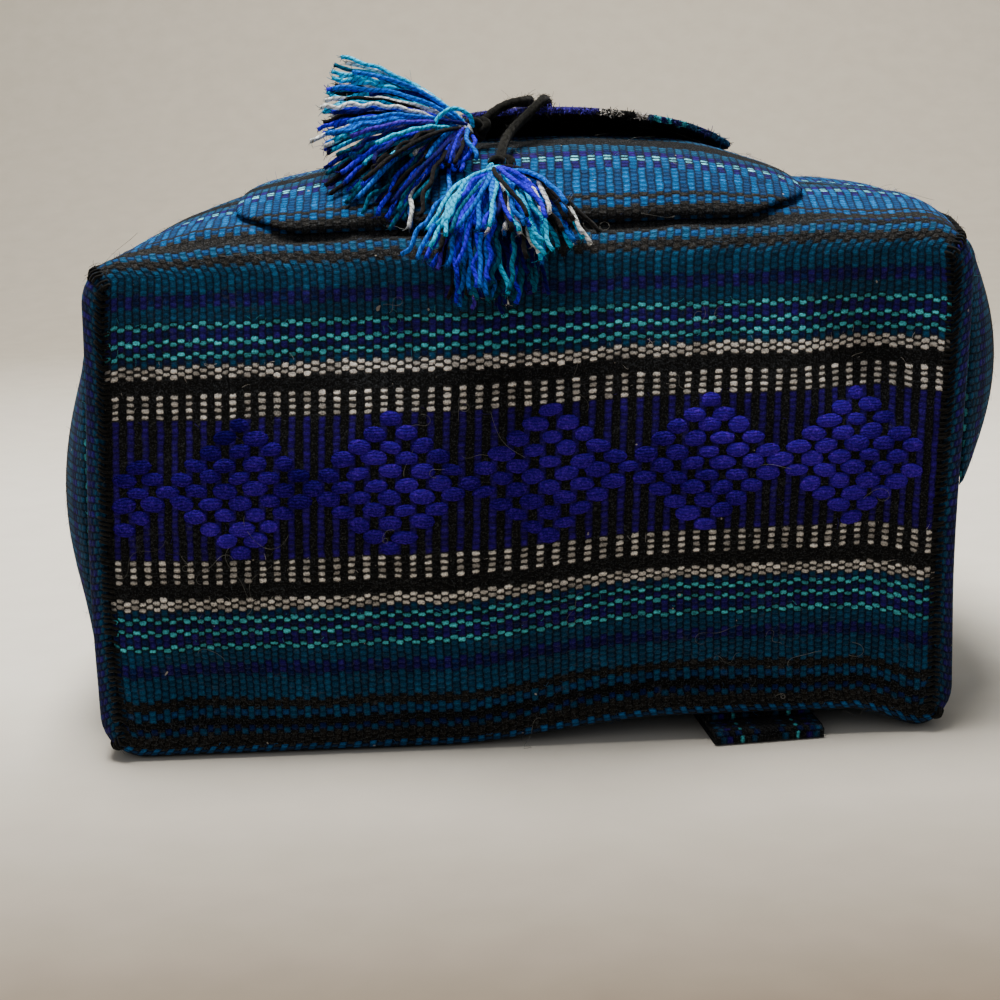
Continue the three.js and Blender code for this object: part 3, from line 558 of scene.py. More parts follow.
def even_route(points, spacing):
    """Points a given distance apart on a smooth curve through the points."""
    points = np.asarray(points, float)
    ends = np.vstack([2 * points[0] - points[1], points, 2 * points[-1] - points[-2]])
    u = np.linspace(0, 1, 30, endpoint=False)[:, None]
    runs = []
    for p0, p1, p2, p3 in zip(ends, ends[1:], ends[2:], ends[3:]):
        runs.append(0.5 * (2 * p1 + (p2 - p0) * u + (2 * p0 - 5 * p1 + 4 * p2 - p3) * u ** 2
                           + (3 * p1 - p0 - 3 * p2 + p3) * u ** 3))
    fine = np.vstack([*runs, points[-1:]])
    at = np.concatenate([[0], np.cumsum(np.linalg.norm(np.diff(fine, axis=0), axis=1))])
    places = np.linspace(0, at[-1], max(2, round(at[-1] / spacing)) + 1)
    return np.stack([np.interp(places, at, fine[:, k]) for k in range(3)], axis=-1), at[-1]


def frames_along(route):
    """Two directions square to a route at each of its points, that don't twist round it."""
    tangent = np.gradient(route, axis=0)
    tangent /= np.linalg.norm(tangent, axis=1, keepdims=True)
    side = np.cross(tangent[0], (0, 0, 1.0) if abs(tangent[0][2]) < 0.9 else (1.0, 0, 0))
    sides = []
    for direction in tangent:
        side = side - direction * side.dot(direction)
        side = side / np.linalg.norm(side)
        sides.append(side)
    sides = np.array(sides)
    return sides, np.cross(tangent, sides)


def tubes(name, routes, radius_at, around, uv_at=None, labels=None):
    """Many closed tubes as one mesh. radius_at(share, turn, length) gives each point's radius."""
    bm = bmesh.new()
    points, charts, tags = [], [], []
    for k, route in enumerate(routes):
        steps = len(route) - 1
        bmesh.ops.create_grid(bm, x_segments=around, y_segments=steps, size=0.5)
        side, up = frames_along(route)
        step = np.linalg.norm(np.diff(route, axis=0), axis=1)
        length = np.concatenate([[0], np.cumsum(step)])
        row = np.repeat(np.arange(steps + 1), around + 1)
        turn = np.tile(np.arange(around + 1), steps + 1) / around
        radius = radius_at(length[row] / length[-1], turn, length[row])[:, None]
        angle = 2 * np.pi * turn[:, None]
        out = side[row] * np.cos(angle) + up[row] * np.sin(angle)
        points.append(route[row] + out * radius)
        charts.append(np.stack([turn, length[row]], axis=-1))
        tags.append(np.full(len(row), 0.0 if labels is None else labels[k]))
    mesh = bpy.data.meshes.new(name)
    bm.to_mesh(mesh)
    bm.free()
    mesh.vertices.foreach_set("co", to_frame(np.vstack(points)).ravel())
    set_uv(mesh, np.vstack(charts))
    tag = mesh.attributes.new("yarn", "FLOAT", "POINT")
    tag.data.foreach_set("value", np.concatenate(tags))
    closed = bmesh.new()
    closed.from_mesh(mesh)
    bmesh.ops.remove_doubles(closed, verts=closed.verts, dist=1e-6)
    rims = [edge for edge in closed.edges if edge.is_boundary]
    bmesh.ops.holes_fill(closed, edges=rims, sides=0)
    closed.to_mesh(mesh)
    closed.free()
    return mesh


# %% [markdown]
# Black wool isn't black: its loose fibres catch the light as grey and brown. The yarn finish
# mixes two shades by a fine noise and a broad one, and roughens the surface with the fine one.

# %% Wool finish for cords and stitches
def wool(name, dark, light, fibre=900.0, relief=0.6):
    finish = Finish(name)
    place = finish.node("ShaderNodeTexCoord", output=3)
    fine = finish.noise(place, fibre, detail=3.0, rough=0.7)
    broad = finish.noise(place, fibre / 9, detail=1.0)
    shade = ((fine - 0.5) * 2.6 + (broad - 0.5) * 1.4 + 0.4).most(0.0).least(1.0)
    finish.set(Base_Color=finish.mix(shade, dark, light), Roughness=1.0)
    finish.set(Specular_IOR_Level=0.05, Sheen_Weight=0.06, Sheen_Roughness=0.6)
    finish.set(Normal=finish.node("ShaderNodeBump", None, {
        "Strength": relief, "Distance": 0.0004, "Height": fine}))
    return finish.material


cord_wool = wool("black_cord_wool", rgb(4, 4, 3), rgb(38, 37, 31), fibre=700.0)

# %% Cords
CORD_PLIES = 3
CORD_TWIST = 11.0        # millimetres for a strand's full turn
STEP_ALONG = 0.8


def twisted(plies, pitch, radius, depth, taper=0.0):
    def radius_at(share, turn, length):
        lobe = np.abs(np.cos(np.pi * plies * (turn + length / pitch)))
        ends = 1 - taper * (np.exp(-length / 2) + np.exp(-(length[-1] - length) / 2))
        return radius * (1 - depth + depth * lobe ** 0.7) * ends
    return radius_at


def drawcord(name, places):
    route, length = even_route(places, STEP_ALONG)
    radius_at = twisted(CORD_PLIES, CORD_TWIST, CORD / 2, 0.24)
    mesh = tubes(name, [route], radius_at, 15)
    piece = shown(name, mesh, cord_wool)
    return piece, route, length


left_cord, left_route, left_length = drawcord("left_drawcord", LEFT_CORD)
right_cord, right_route, right_length = drawcord("right_drawcord", RIGHT_CORD)
print("cord lengths, mm:", round(left_length), round(right_length))

# %% [markdown]
# The cloth is warp-faced: fine dyed yarns run along the stripes and pass over one thick hidden
# weft and under the next, so the surface is rows of small ovals, and the ovals of one rib lie half
# a step beside those of the next. The finish works in the flat cloth's millimetres. It finds the
# rib and the yarn under a point, looks the yarn's colour up in a table of stripes, one table for
# even ribs and one for odd ones, and raises a small dome over it. Painting a picture of the weave
# would blur close up, so the pattern is worked out at every point.

# %% Stripes of the cloth
RIB = 2.98               # from one weft to the next
YARN = 1.25              # from one yarn to the next
FLOAT = 2 * YARN         # height of one oval

BLACK = rgb(16, 15, 13)
GREY = rgb(42, 39, 34)
WHITE = rgb(218, 211, 201)
ROYAL = rgb(46, 4, 136)
DEEP = rgb(9, 34, 92)
PURPLE = rgb(36, 20, 118)
TEAL = rgb(14, 76, 114)
SEA = rgb(20, 90, 132)
CYAN = rgb(66, 184, 196)
BLUE = rgb(8, 72, 128)
BRIGHT = rgb(4, 110, 182)
SKY = rgb(104, 200, 222)

# yarns in the stripe, colour on even ribs, colour on odd ribs
STRIPES = (
    (22, ROYAL, BLACK),
    (8, WHITE, BLACK),
    (4, BLACK, BLACK),
    (4, WHITE, WHITE),
    (2, TEAL, DEEP),
    (2, CYAN, CYAN),
    (2, DEEP, PURPLE),
    (2, CYAN, CYAN),
    (3, PURPLE, DEEP),
    (2, CYAN, CYAN),
    (5, TEAL, TEAL),
    (4, PURPLE, DEEP),
    (8, SEA, TEAL),
    (3, GREY, GREY),
    (3, BLUE, SEA),
    (3, BLACK, BLACK),
    (2, TEAL, DEEP),
    (5, GREY, GREY),
    (3, BRIGHT, BLUE),
    (2, GREY, GREY),
    (12, BRIGHT, BLUE),
    (5, PURPLE, BRIGHT),
    (3, SKY, BRIGHT),
    (4, DEEP, ROYAL),
    (6, TEAL, SEA),
    (6, BLACK, BLACK),
)
WOOL_YARNS = (BLACK, GREY)      # undyed, hairier than the rest
SPOTTED_YARNS = (WHITE, CYAN, SKY)      # smooth and tight, so each float stands out


def yarn_kind(dye):
    return 0.0 if dye in WOOL_YARNS else 1.0 if dye in SPOTTED_YARNS else 0.5


def stripe_stops(stripes, parity, length):
    """Ramp stops for the even (0) or odd (1) ribs. Alpha holds the kind of yarn."""
    stops, at = [], 0.0
    for yarns, *pair in stripes:
        dye = pair[parity]
        stops.append((at * YARN / length, (*dye[:3], yarn_kind(dye))))
        at += yarns
    return stops


def cloth_length(stripes):
    return YARN * sum(yarns for yarns, _, _ in stripes)


# %% [markdown]
# Each place on a rib shows one oval float, painted lighter on its crown, with painted shade in
# the gap round it. Its edge is ragged, because wool is hairy, and stray fibres lie over
# everything: a thin line where a slow noise passes its middle value draws one like a curl.
# Undyed wool is the hairiest, so its floats hardly show.

# %% Woven finish
OVAL_WIDE, OVAL_TALL = 1.0, 0.72      # an oval's half sizes, as shares of half a rib and half a float


def woven(name, stripes, centre=0.0, fuzz=1.0, lint=1.0):
    """A woven finish that reads the flat cloth's millimetres from the UV map."""
    finish = Finish(name)
    flat = finish.node("ShaderNodeUVMap", {"uv_map": "UVMap"})
    place = finish.node("ShaderNodeTexCoord", output=3)
    u0 = finish.node("ShaderNodeSeparateXYZ", None, {0: flat})
    v0 = Value(finish, u0.socket.node.outputs[1])
    loose = finish.noise(place, 160.0, detail=2.0, rough=0.65)
    looser = finish.noise(place, 45.0, detail=0.0)
    u = u0 + (loose - 0.5) * 1.5
    v = v0 - centre + (loose - 0.5) * -1.3 + (looser - 0.5) * 1.6
    rib = (u / RIB).floor()
    odd = rib.math("FLOORED_MODULO", 2.0)
    row = v / FLOAT + odd * 0.5
    yarn = row.floor()
    yarn_at = (yarn + 0.5 - odd * 0.5) * FLOAT
    length = cloth_length(stripes)
    share = (yarn_at.size() / length).math("PINGPONG", 1.0)
    even_dye = finish.node("ShaderNodeValToRGB", {"stops": stripe_stops(stripes, 0, length)}, {0: share})
    odd_dye = finish.node("ShaderNodeValToRGB", {"stops": stripe_stops(stripes, 1, length)}, {0: share})
    colour = finish.mix(odd, even_dye, odd_dye)
    even_kind = Value(finish, even_dye.socket.node.outputs[1])
    odd_kind = Value(finish, odd_dye.socket.node.outputs[1])
    kind = even_kind + (odd_kind - even_kind) * odd
    woolly = (1 - kind * 2).most(0.0)
    spotted = (kind * 2 - 1).most(0.0)

    across = ((u / RIB).fraction() * 2 - 1) / OVAL_WIDE
    along = (row.fraction() * 2 - 1) / OVAL_TALL
    fibre = finish.noise(place, 1500.0, detail=2.0, rough=0.7)
    ragged = (fibre - 0.5) * 2.2 + (loose - 0.5) * 0.7
    plump = 0.8 + finish.random(yarn, rib, 7.0) * 0.75
    out = across * across
    dome = (1 - (out * out + along * along) * plump + ragged).most(0.0).least(1.0) ** 0.5
    strand = finish.noise(finish.vector(u * 0.35, v * 2.6, rib * 7.3), 1.0, detail=2.0, rough=0.6)
    lucky = finish.random(rib, yarn)
    streak = finish.random(yarn, odd, 3.0)
    lightness_variation = finish.noise(place, 22.0, detail=3.0)

    plain = 1 - spotted
    # Painted shade: the gaps between the floats are painted darker, and each float's dome is painted lighter towards
    # its crown.
    groove_shade = 1 - (out * 1.25 + (fibre - 0.5) * 0.7).most(0.0).least(1.0) ** 2.0 * 0.72 * plain
    light = 0.05 + plain * 0.55 + dome * (1.5 - plain * 0.95 - woolly * 0.3)
    light = light * groove_shade * (0.5 + plain * 0.22 + lucky * (0.8 - plain * 0.36))
    light = light * (0.8 + streak * 0.4) * (0.1 + strand * 1.8)
    light = light * (0.2 + fibre * 1.6) * (0.5 + lightness_variation)
    # Painted shade: the cloth is painted darker towards the floor and a little darker again above 200 mm. The same
    # height mask also paints the grey haze of hair thicker higher up.
    high = finish.node("ShaderNodeSeparateXYZ", None, {0: place})
    high = Value(finish, high.socket.node.outputs[2])
    painted_height_light = (high * 4.6).most(0.0).least(1.0)
    light = light * (0.46 + painted_height_light * 0.6 - ((high - 0.2) * 5.0).most(0.0).least(0.2))
    colour = finish.scaled(colour, light)
    curl = finish.noise(place, 210.0, detail=1.0)
    thin = (1 - (curl - 0.5).size() * 55).most(0.0) * finish.noise(place, 60.0, detail=1.0).above(0.52)
    matted = ((fibre - 0.52) * 6.0).most(0.0).least(1.0) * (0.34 + woolly * 0.66)
    hair = (matted * (0.2 + painted_height_light * 0.14) + thin * 0.12 + painted_height_light * 0.05).least(1.0) * fuzz
    colour = finish.mix(hair, colour, rgb(104, 108, 112))
    speck = finish.noise(place, 260.0, detail=1.0).above(0.80) * lint
    colour = finish.mix(speck * 0.5, colour, rgb(205, 196, 180))
    height = dome * 0.8 + strand * 0.2 + fibre * 0.3
    finish.set(Base_Color=colour, Roughness=1.0)
    finish.set(Specular_IOR_Level=0.04, Sheen_Weight=0.04, Sheen_Roughness=0.5)
    finish.set(Normal=finish.node("ShaderNodeBump", None, {
        "Strength": 0.9, "Distance": 0.0010, "Height": height}))
    return finish.material


body_cloth = woven("woven_body_cloth", STRIPES)
print("stripes in the table, mm:", round(cloth_length(STRIPES)))

# %% [markdown]
# The body's wrap is one cloth on the real bag. Here it is cut where the back rolls under the
# base, hidden from every side, so that each half stays light enough. Its loom's unevenness is
# kept: the ribs are wider in the middle of the base than at its ends. The stripes' middle lies a
# centimetre above the middle of the base.

# %% Body cloth: base and front
HALF_BASE = BASE_HEIGHT / 2
STRIPES_RISE = 10.0      # from the middle of the base to the middle of the stripes
BACK_CUT = 14.0          # how far the base's cloth reaches along the back
SIDE_WALL = 2.2
unevenness = waves(3, 46.0)
small_unevenness = waves(8, 17.0)


def rib_chart(x):
    """Places along the stripes on the flat cloth, for a place across the bag."""
    return 0.97 * x - 3.4 * np.sin(2 * np.pi * x / WIDTH) + 1.0


def wrap_point(share, place):
    """place is in mm from the middle of the base: below it the back, above it the front."""
    back, front = place < -HALF_BASE, place > HALF_BASE
    on_base = base_point(share, clamp((place + HALF_BASE) / BASE_HEIGHT, 0, 1))
    on_back = body_point("back", 1 - share, np.where(back, -place - HALF_BASE, 0))
    on_front = body_point("front", share, np.where(front, place - HALF_BASE, 0))
    return np.where(back[..., None], on_back, np.where(front[..., None], on_front, on_base))


def wrap_cloth_point(share, at):
    """The wrap's outer face with its dents and humps, which fade out where it is sewn."""
    step = 0.6
    points = wrap_point(share, at)
    across = wrap_point(np.minimum(1, share + 0.002), at) - wrap_point(np.maximum(0, share - 0.002), at)
    along = wrap_point(share, at + step) - wrap_point(share, at - step)
    normals = np.cross(across, along)
    normals /= np.maximum(1e-9, np.linalg.norm(normals, axis=-1, keepdims=True))
    sewn = smooth(np.minimum(share, 1 - share), 0, 0.06)
    edge = HALF_BASE + CLOTH_LENGTH - np.abs(at)
    x = (share - 0.5) * WIDTH
    hump = unevenness(x, at) * 0.8 + small_unevenness(x, at) * 0.3 - 0.5
    hump = hump * sewn * smooth(edge, 0, 60) * smooth(points[..., 2], 14, 30)
    return points + normals * hump[..., None]


def wrap_panel(name, low, high, columns, rows, thickness=SIDE_WALL):
    def place(u, v):
        return wrap_cloth_point(u, low + v * (high - low))

    def chart(u, v):
        return rib_chart((u - 0.5) * WIDTH), low + v * (high - low) - STRIPES_RISE
    return woven_panel(name, columns, rows, place, chart, thickness, [body_cloth])


base_and_front = wrap_panel("base_and_front_cloth", -HALF_BASE - BACK_CUT, HALF_BASE + CLOTH_LENGTH, 178, 186)
back = wrap_panel("back_cloth", -HALF_BASE - CLOTH_LENGTH, -HALF_BASE - BACK_CUT, 90, 112)
for piece in (base_and_front, back):
    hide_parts("body_wrap")

# %% [markdown]
# The middle of the base is brocaded: a thick royal yarn lies over the cloth in rows of short
# floats that make a chain of diamonds, and black shows between them. The floats stand a
# millimetre proud and catch the light, so each is a small flattened ball of its own, laid where a
# chart of the diamond says. The weave's finish alone would look printed.

# %% Brocaded diamonds
DIAMOND = 5              # floats from a diamond's middle to its tip
DIAMOND_PITCH = 10       # columns from one diamond's middle to the next
COLUMN = 2 * RIB
ROW = 5.0
FIRST_DIAMOND = 1.5 * RIB + COLUMN      # the middle of the diamond nearest the bag's middle
FLOAT_WIDE, FLOAT_TALL, FLOAT_HIGH = 4.57, 2.85, 0.9       # half sizes
FLOAT_UNEVEN = 0.32


def base_surface(u, v):
    return base_point(u, v)


def place_on_base(along, up):
    """A point on the base and the cloth's directions there, for a place on the flat cloth."""
    across = np.linspace(-WIDTH / 2, WIDTH / 2, 1200)
    x = np.interp(along, rib_chart(across), across)
    up = up + STRIPES_RISE
    share, height = x / WIDTH + 0.5, up / BASE_HEIGHT + 0.5
    points = wrap_cloth_point(share, up)
    normal = normals_of(base_surface, np.asarray(share), np.asarray(height))
    return points, normal, x


def brocade_floats():
    floats = []
    last = int(WIDTH / 2 / COLUMN) + DIAMOND_PITCH
    for column in range(-last, last + 1):
        nearest = (column + DIAMOND_PITCH // 2) % DIAMOND_PITCH - DIAMOND_PITCH // 2
        for row in range(-DIAMOND, DIAMOND + 1):
            if (nearest + row) % 2 == 1 and abs(nearest) + abs(row) <= DIAMOND:
                floats.append((FIRST_DIAMOND + column * COLUMN, row * ROW))
    return np.array(floats)


draw = np.random.default_rng(5)
floats = brocade_floats() + draw.normal(0, 0.35, (len(brocade_floats()), 2))
points, normals, places = place_on_base(floats[:, 0], floats[:, 1])
bm = bmesh.new()
for point, normal, x in zip(points, normals, places):
    if abs(x) > WIDTH / 2 - 7:
        continue
    out = Vector(normal)
    along = Vector((1, 0, 0))
    along = (along - out * along.dot(out)).normalized()
    turned = Matrix((along, out.cross(along), out)).transposed()
    turned = turned @ Matrix.Rotation(math.radians(draw.normal(0, 7)), 3, "Z")
    size = 1 + draw.normal(0, 0.1, 3)
    half = (FLOAT_WIDE * size[0], FLOAT_TALL * size[1], FLOAT_HIGH * size[2])
    scale = Matrix.Diagonal([length / 1000 for length in half])
    spot = Matrix.Translation(Vector(to_frame(point))) @ (turned @ scale).to_4x4()
    bmesh.ops.create_uvsphere(bm, u_segments=12, v_segments=6, radius=1.0, matrix=spot)
for vert in bm.verts:
    vert.co += noise_vector(vert.co * 420) * FLOAT_UNEVEN / 1000
mesh = bpy.data.meshes.new("brocade_floats")
bm.to_mesh(mesh)
bm.free()


def brocade_finish(name, dark, mid, light):
    """A soft thick yarn of several strands that lie side by side across the float."""
    finish = Finish(name)
    place = finish.node("ShaderNodeTexCoord", output=3)
    side = finish.node("ShaderNodeSeparateXYZ", None, {0: place})
    up = Value(finish, side.socket.node.outputs[2])
    loose = finish.noise(place, 260.0, detail=1.0)
    strands = ((up * 1000 + (loose - 0.5) * 2.4) / 1.15).fraction() * 2 - 1
    fibre = finish.noise(place, 1100.0, detail=3.0, rough=0.8)
    patch = finish.noise(place, 26.0, detail=2.0)
    # Painted light: the yarn is painted lighter towards the bag's right, on top of its uneven patches. Each strand's
    # crown is painted lighter, and fibre highlights are painted in the light colour.
    crown = (1 - strands * strands).most(0.0)
    lightness_variation = ((patch - 0.5) * 2.4 + side * 1.7 + 0.5).most(0.0).least(1.0)
    shade = (crown * 0.25 + (fibre - 0.5) * 1.5 + lightness_variation * 0.75 - 0.1).most(0.0).least(1.0)
    colour = finish.mix(shade, dark, mid)
    lit = ((fibre - 0.52) * 4.0).most(0.0).least(1.0) * lightness_variation
    colour = finish.mix(lit * 0.85, colour, light)
    finish.set(Base_Color=colour, Roughness=1.0)
    finish.set(Specular_IOR_Level=0.03)
    finish.set(Normal=finish.node("ShaderNodeBump", None, {
        "Strength": 1.0, "Distance": 0.0009, "Height": crown * 0.4 + fibre * 0.9}))
    return finish.material


royal_yarn = brocade_finish("royal_brocade_yarn", rgb(16, 0, 76), rgb(62, 6, 184), rgb(132, 66, 240))
brocade = shown("brocade_floats", mesh, royal_yarn)
print("floats:", len(floats), "faces:", len(mesh.polygons))

# %% [markdown]
# The gussets are cut from the same cloth with the stripes running from back to front.

# %% Gussets
GUSSET_WIDTH = 190.0
GUSSET_STRIPE = 66.0     # the stripe that the gusset's cut edge falls in


def side_panel(name, side, area, columns, rows, rise, first_stripe, thin=None):
    """A panel on a gusset. area is from one share to another and from one distance to another."""
    low, high, start, end = area

    def carrier(u, v):
        return body_point(side, low + u * (high - low), start + v * (end - start))

    def place(u, v):
        off = rise(u, v)
        return carrier(u, v) + normals_of(carrier, u, v) * off[..., None]

    def chart(u, v):
        return (u - 0.5) * (high - low) * GUSSET_WIDTH, first_stripe + v * (end - start)
    return woven_panel(name, columns, rows, place, chart, SIDE_WALL, [body_cloth], thin)


for side in ("left", "right"):
    gusset = side_panel(f"{side}_gusset_cloth", side, (0, 1, 0, CLOTH_LENGTH), 60, 150,
                        lambda u, v: 0 * u, GUSSET_STRIPE)
    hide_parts(f"gusset_{side}")

# %% [markdown]
# A pocket is a cloth of its own, sewn down on three edges and open at the fourth. Its edges are
# turned in, so the cloth gets thinner and rolls down to what it is sewn to. A slab with square
# edges would give it away as a model.

# %% Side pockets
SIDE_POCKET_START = 35.0
SIDE_POCKET_LENGTH = 149.0
SIDE_POCKET_STRIPE = 64.0
POCKET_GAP = 0.9         # between a pocket's cloth and what it is sewn to
# side, from, to, bulk
SIDE_POCKETS = (("left", 2 / 12, 10 / 12, 11.5), ("right", 0.04, 0.54, 15.0))

side_pockets = []
for side, low, high, bulk in SIDE_POCKETS:
    def edges(u, v, wide=(high - low) * GUSSET_WIDTH):
        return turned_in(u, v, wide, SIDE_POCKET_LENGTH)

    def bulge(u, v, bulk=bulk, edges=edges):
        rise = bulk * np.sin(np.pi * clamp(u, 0, 1)) ** 0.8 * read(SIDE_POCKET_ALONG, v)
        return POCKET_GAP + SIDE_WALL * edges(u, v) + rise
    area = (low, high, SIDE_POCKET_START, SIDE_POCKET_START + SIDE_POCKET_LENGTH)
    pocket = side_panel(f"{side}_side_pocket_cloth", side, area, 60, 80, bulge,
                        SIDE_POCKET_STRIPE, edges)
    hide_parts(f"side_pocket_{side}")
    side_pockets.append(pocket)

# %% [markdown]
# The front pocket stands off the panel over what it holds. Its stripes carry on the front's.

# %% Front pocket
POCKET_FROM, POCKET_TO = 0.16, 0.825
POCKET_START, POCKET_LENGTH, POCKET_BULK = 22.0, 160.0, 16.0
POCKET_END = POCKET_START + POCKET_LENGTH
POCKET_CORNER = 26.0
POCKET_STRIPE = 98.8     # the stripe that the pocket's lower edge falls in


def pocket_rise(share, distance):
    across = (share - POCKET_FROM) / (POCKET_TO - POCKET_FROM)
    along = (distance - POCKET_START) / POCKET_LENGTH
    return POCKET_BULK * read(POCKET_ACROSS, across) * read(POCKET_ALONG, along) * (1 - smooth(along, 1, 1.2))


def pocket_share(u, v=1.0):
    """The lower corners are rounded: the cloth is narrower there."""
    short = POCKET_CORNER - np.minimum(POCKET_CORNER, v * POCKET_LENGTH)
    inset = (POCKET_CORNER - np.sqrt(POCKET_CORNER ** 2 - short ** 2)) / WIDTH
    return POCKET_FROM + inset + u * (POCKET_TO - POCKET_FROM - 2 * inset)


def pocket_carrier(u, v):
    return body_point("front", pocket_share(u, v), POCKET_START + v * POCKET_LENGTH)


def pocket_edges(u, v):
    return turned_in(u, v, (POCKET_TO - POCKET_FROM) * WIDTH, POCKET_LENGTH)


def pocket_place(u, v):
    share, distance = pocket_share(u, v), POCKET_START + v * POCKET_LENGTH
    off = POCKET_GAP + SIDE_WALL * pocket_edges(u, v) + pocket_rise(share, distance)
    sewn = smooth(np.minimum(u, 1 - u), 0, 0.1) * smooth(v, 0, 0.1)
    off = off + (unevenness(share * WIDTH, distance) - 0.7) * 0.5 * sewn
    return pocket_carrier(u, v) + normals_of(pocket_carrier, u, v) * off[..., None]


def pocket_chart(u, v):
    """The stripes are measured along the bulging cloth, up its middle."""
    up = np.linspace(0, 1, 120)
    middle = pocket_place(0 * up + 0.5, up)
    run = np.concatenate([[0], np.cumsum(np.linalg.norm(np.diff(middle, axis=0), axis=1))])
    return rib_chart((pocket_share(u, v) - 0.5) * WIDTH), POCKET_STRIPE + np.interp(v, up, run)


front_pocket = woven_panel("front_pocket_cloth", 120, 86, pocket_place, pocket_chart, SIDE_WALL, [body_cloth],
                           pocket_edges)
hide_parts("front_pocket")

# %% [markdown]
# The flap is cut across the cloth, so its stripes run from its root to its free edge. The edge
# stands off the pocket in a low arch, and its underside is painted in dark wool as painted shade.

# %% Pocket flap
FLAP_FROM, FLAP_TO = 0.27, 0.77
FLAP_RIM, FLAP_LENGTH = 74.0, 145.0
FLAP_ROOT = FLAP_RIM + FLAP_LENGTH
FLAP_CORNER, FLAP_ARCH, FLAP_CLEARANCE = 46.0, 8.5, 1.2


def flap_rim(u):
    wide = (FLAP_TO - FLAP_FROM) * WIDTH
    past = np.maximum(0, np.abs(u - 0.5) * wide - wide / 2 + FLAP_CORNER)
    return FLAP_RIM + FLAP_CORNER - np.sqrt(np.maximum(0, FLAP_CORNER ** 2 - past ** 2))


def flap_place(u, v):
    share = FLAP_FROM + u * (FLAP_TO - FLAP_FROM)
    distance = flap_rim(u) + v * (FLAP_ROOT - flap_rim(u))
    reach = (FLAP_ROOT - distance) / FLAP_LENGTH
    arch = FLAP_ARCH * (1 - (2 * u - 1) ** 2) * smooth(reach, 0.1, 1)
    on_pocket = 1 - smooth(distance, POCKET_END, FLAP_ROOT)
    below = SEAT + pocket_rise(share, distance) + on_pocket * (CLOTH + FLAP_CLEARANCE)
    points = body_point("front", share, distance)
    points[..., 2] += below + arch + CLOTH
    return points


def flap_chart(u, v):
    share = FLAP_FROM + u * (FLAP_TO - FLAP_FROM)
    return flap_rim(u) + v * (FLAP_ROOT - flap_rim(u)), (share - 0.5) * WIDTH - 4


VIOLET = rgb(92, 66, 214)
FLAP_STRIPES = tuple((yarns, *(VIOLET if dye == ROYAL else dye for dye in pair)) for yarns, *pair in STRIPES)
flap_cloth = woven("woven_flap_cloth", FLAP_STRIPES)
# Painted shade: the flap's underside is dark wool that stands in for the shade under the flap.
underside_painted_shade = wool("flap_underside_painted_shade", rgb(14, 17, 20), rgb(98, 104, 110), fibre=700.0)
flap = woven_panel("pocket_flap_cloth", 110, 90, flap_place, flap_chart, SIDE_WALL, [flap_cloth, underside_painted_shade])
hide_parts("pocket_flap")

# %% [markdown]
# The straps are flat bands of two thin cloths, folded in three under the bag. A grid follows the
# same folds as the model's solid, and a Solidify modifier gives it its wall.

# %% Straps
STRAP_STRIPES = (
    (3, BLACK, BLACK), (2, TEAL, DEEP), (2, BLACK, GREY), (1, WHITE, BLACK), (2, CYAN, DEEP),
    (2, BLACK, BLACK), (2, ROYAL, DEEP), (2, TEAL, SEA), (3, BLACK, BLACK),
)
strap_cloth = woven("woven_strap_cloth", STRAP_STRIPES)


def strap_line():
    """The band's middle line: distance from the front fold, and height."""
    bend, low = STRAP_PITCH / 2, STRAP / 2
    turn = np.linspace(0, np.pi, 9)
    lowest = np.stack([np.linspace(STRAP_REACH, 2, 90), np.full(90, low)], axis=-1)
    front_fold = np.stack([bend - bend * np.sin(turn), low + bend - bend * np.cos(turn)], axis=-1)
    back_fold = np.stack([STRAP_BACK_FOLD + bend * np.sin(turn), low + STRAP_PITCH + bend - bend * np.cos(turn)], axis=-1)
    middle_leg = np.stack([np.linspace(4, STRAP_BACK_FOLD - 2, 50), np.full(50, low + STRAP_PITCH)], axis=-1)
    top_leg = np.stack([np.linspace(STRAP_BACK_FOLD - 2, STRAP_LOWER_END, 50), np.full(50, low + 2 * STRAP_PITCH)], axis=-1)
    return np.vstack([lowest, front_fold, middle_leg, back_fold, top_leg])


strap_path = strap_line()
strap_at = np.concatenate([[0], np.cumsum(np.linalg.norm(np.diff(strap_path, axis=0), axis=1))])
for name, side, x, front, _, _ in STRAPS:
    def band(u, v, side=side, x=x, front=front):
        along = np.interp(v * strap_at[-1], strap_at, strap_path[:, 0])
        height = np.interp(v * strap_at[-1], strap_at, strap_path[:, 1])
        across = (0.5 - u) * STRAP_WIDTH
        turn = side * STRAP_SPLAY
        return np.stack([x + across * math.cos(turn) - along * math.sin(turn),
                         front + across * math.sin(turn) + along * math.cos(turn), height], axis=-1)

    def band_chart(u, v):
        return v * strap_at[-1], (u - 0.5) * STRAP_WIDTH
    strap = woven_panel(f"{name}_band", 14, 260, band, band_chart, 2.0, [strap_cloth])
    strap.modifiers["thickness"].offset = 0
    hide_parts(name)
print("strap length, mm:", round(strap_at[-1]))

# %% [markdown]
# Each tassel is over a hundred cut ends of twisted yarn. They are laid one by one: a strand follows
# one of a few directions, with a little chance added, bends as wool does and is pushed clear of
# the cloth below it. Particle hair would be quicker, but it can't be exported as a mesh.

# %% Where the strands go
LEFT_LENGTH, FRONT_LENGTH = 67.0, 61.0
STRAND = 2.0
STRAND_TWIST = 5.5
LEFT_NECK = (-15.0, 54.0, 240.6)
FRONT_NECK = (-3.6, 17.0, 225.4)
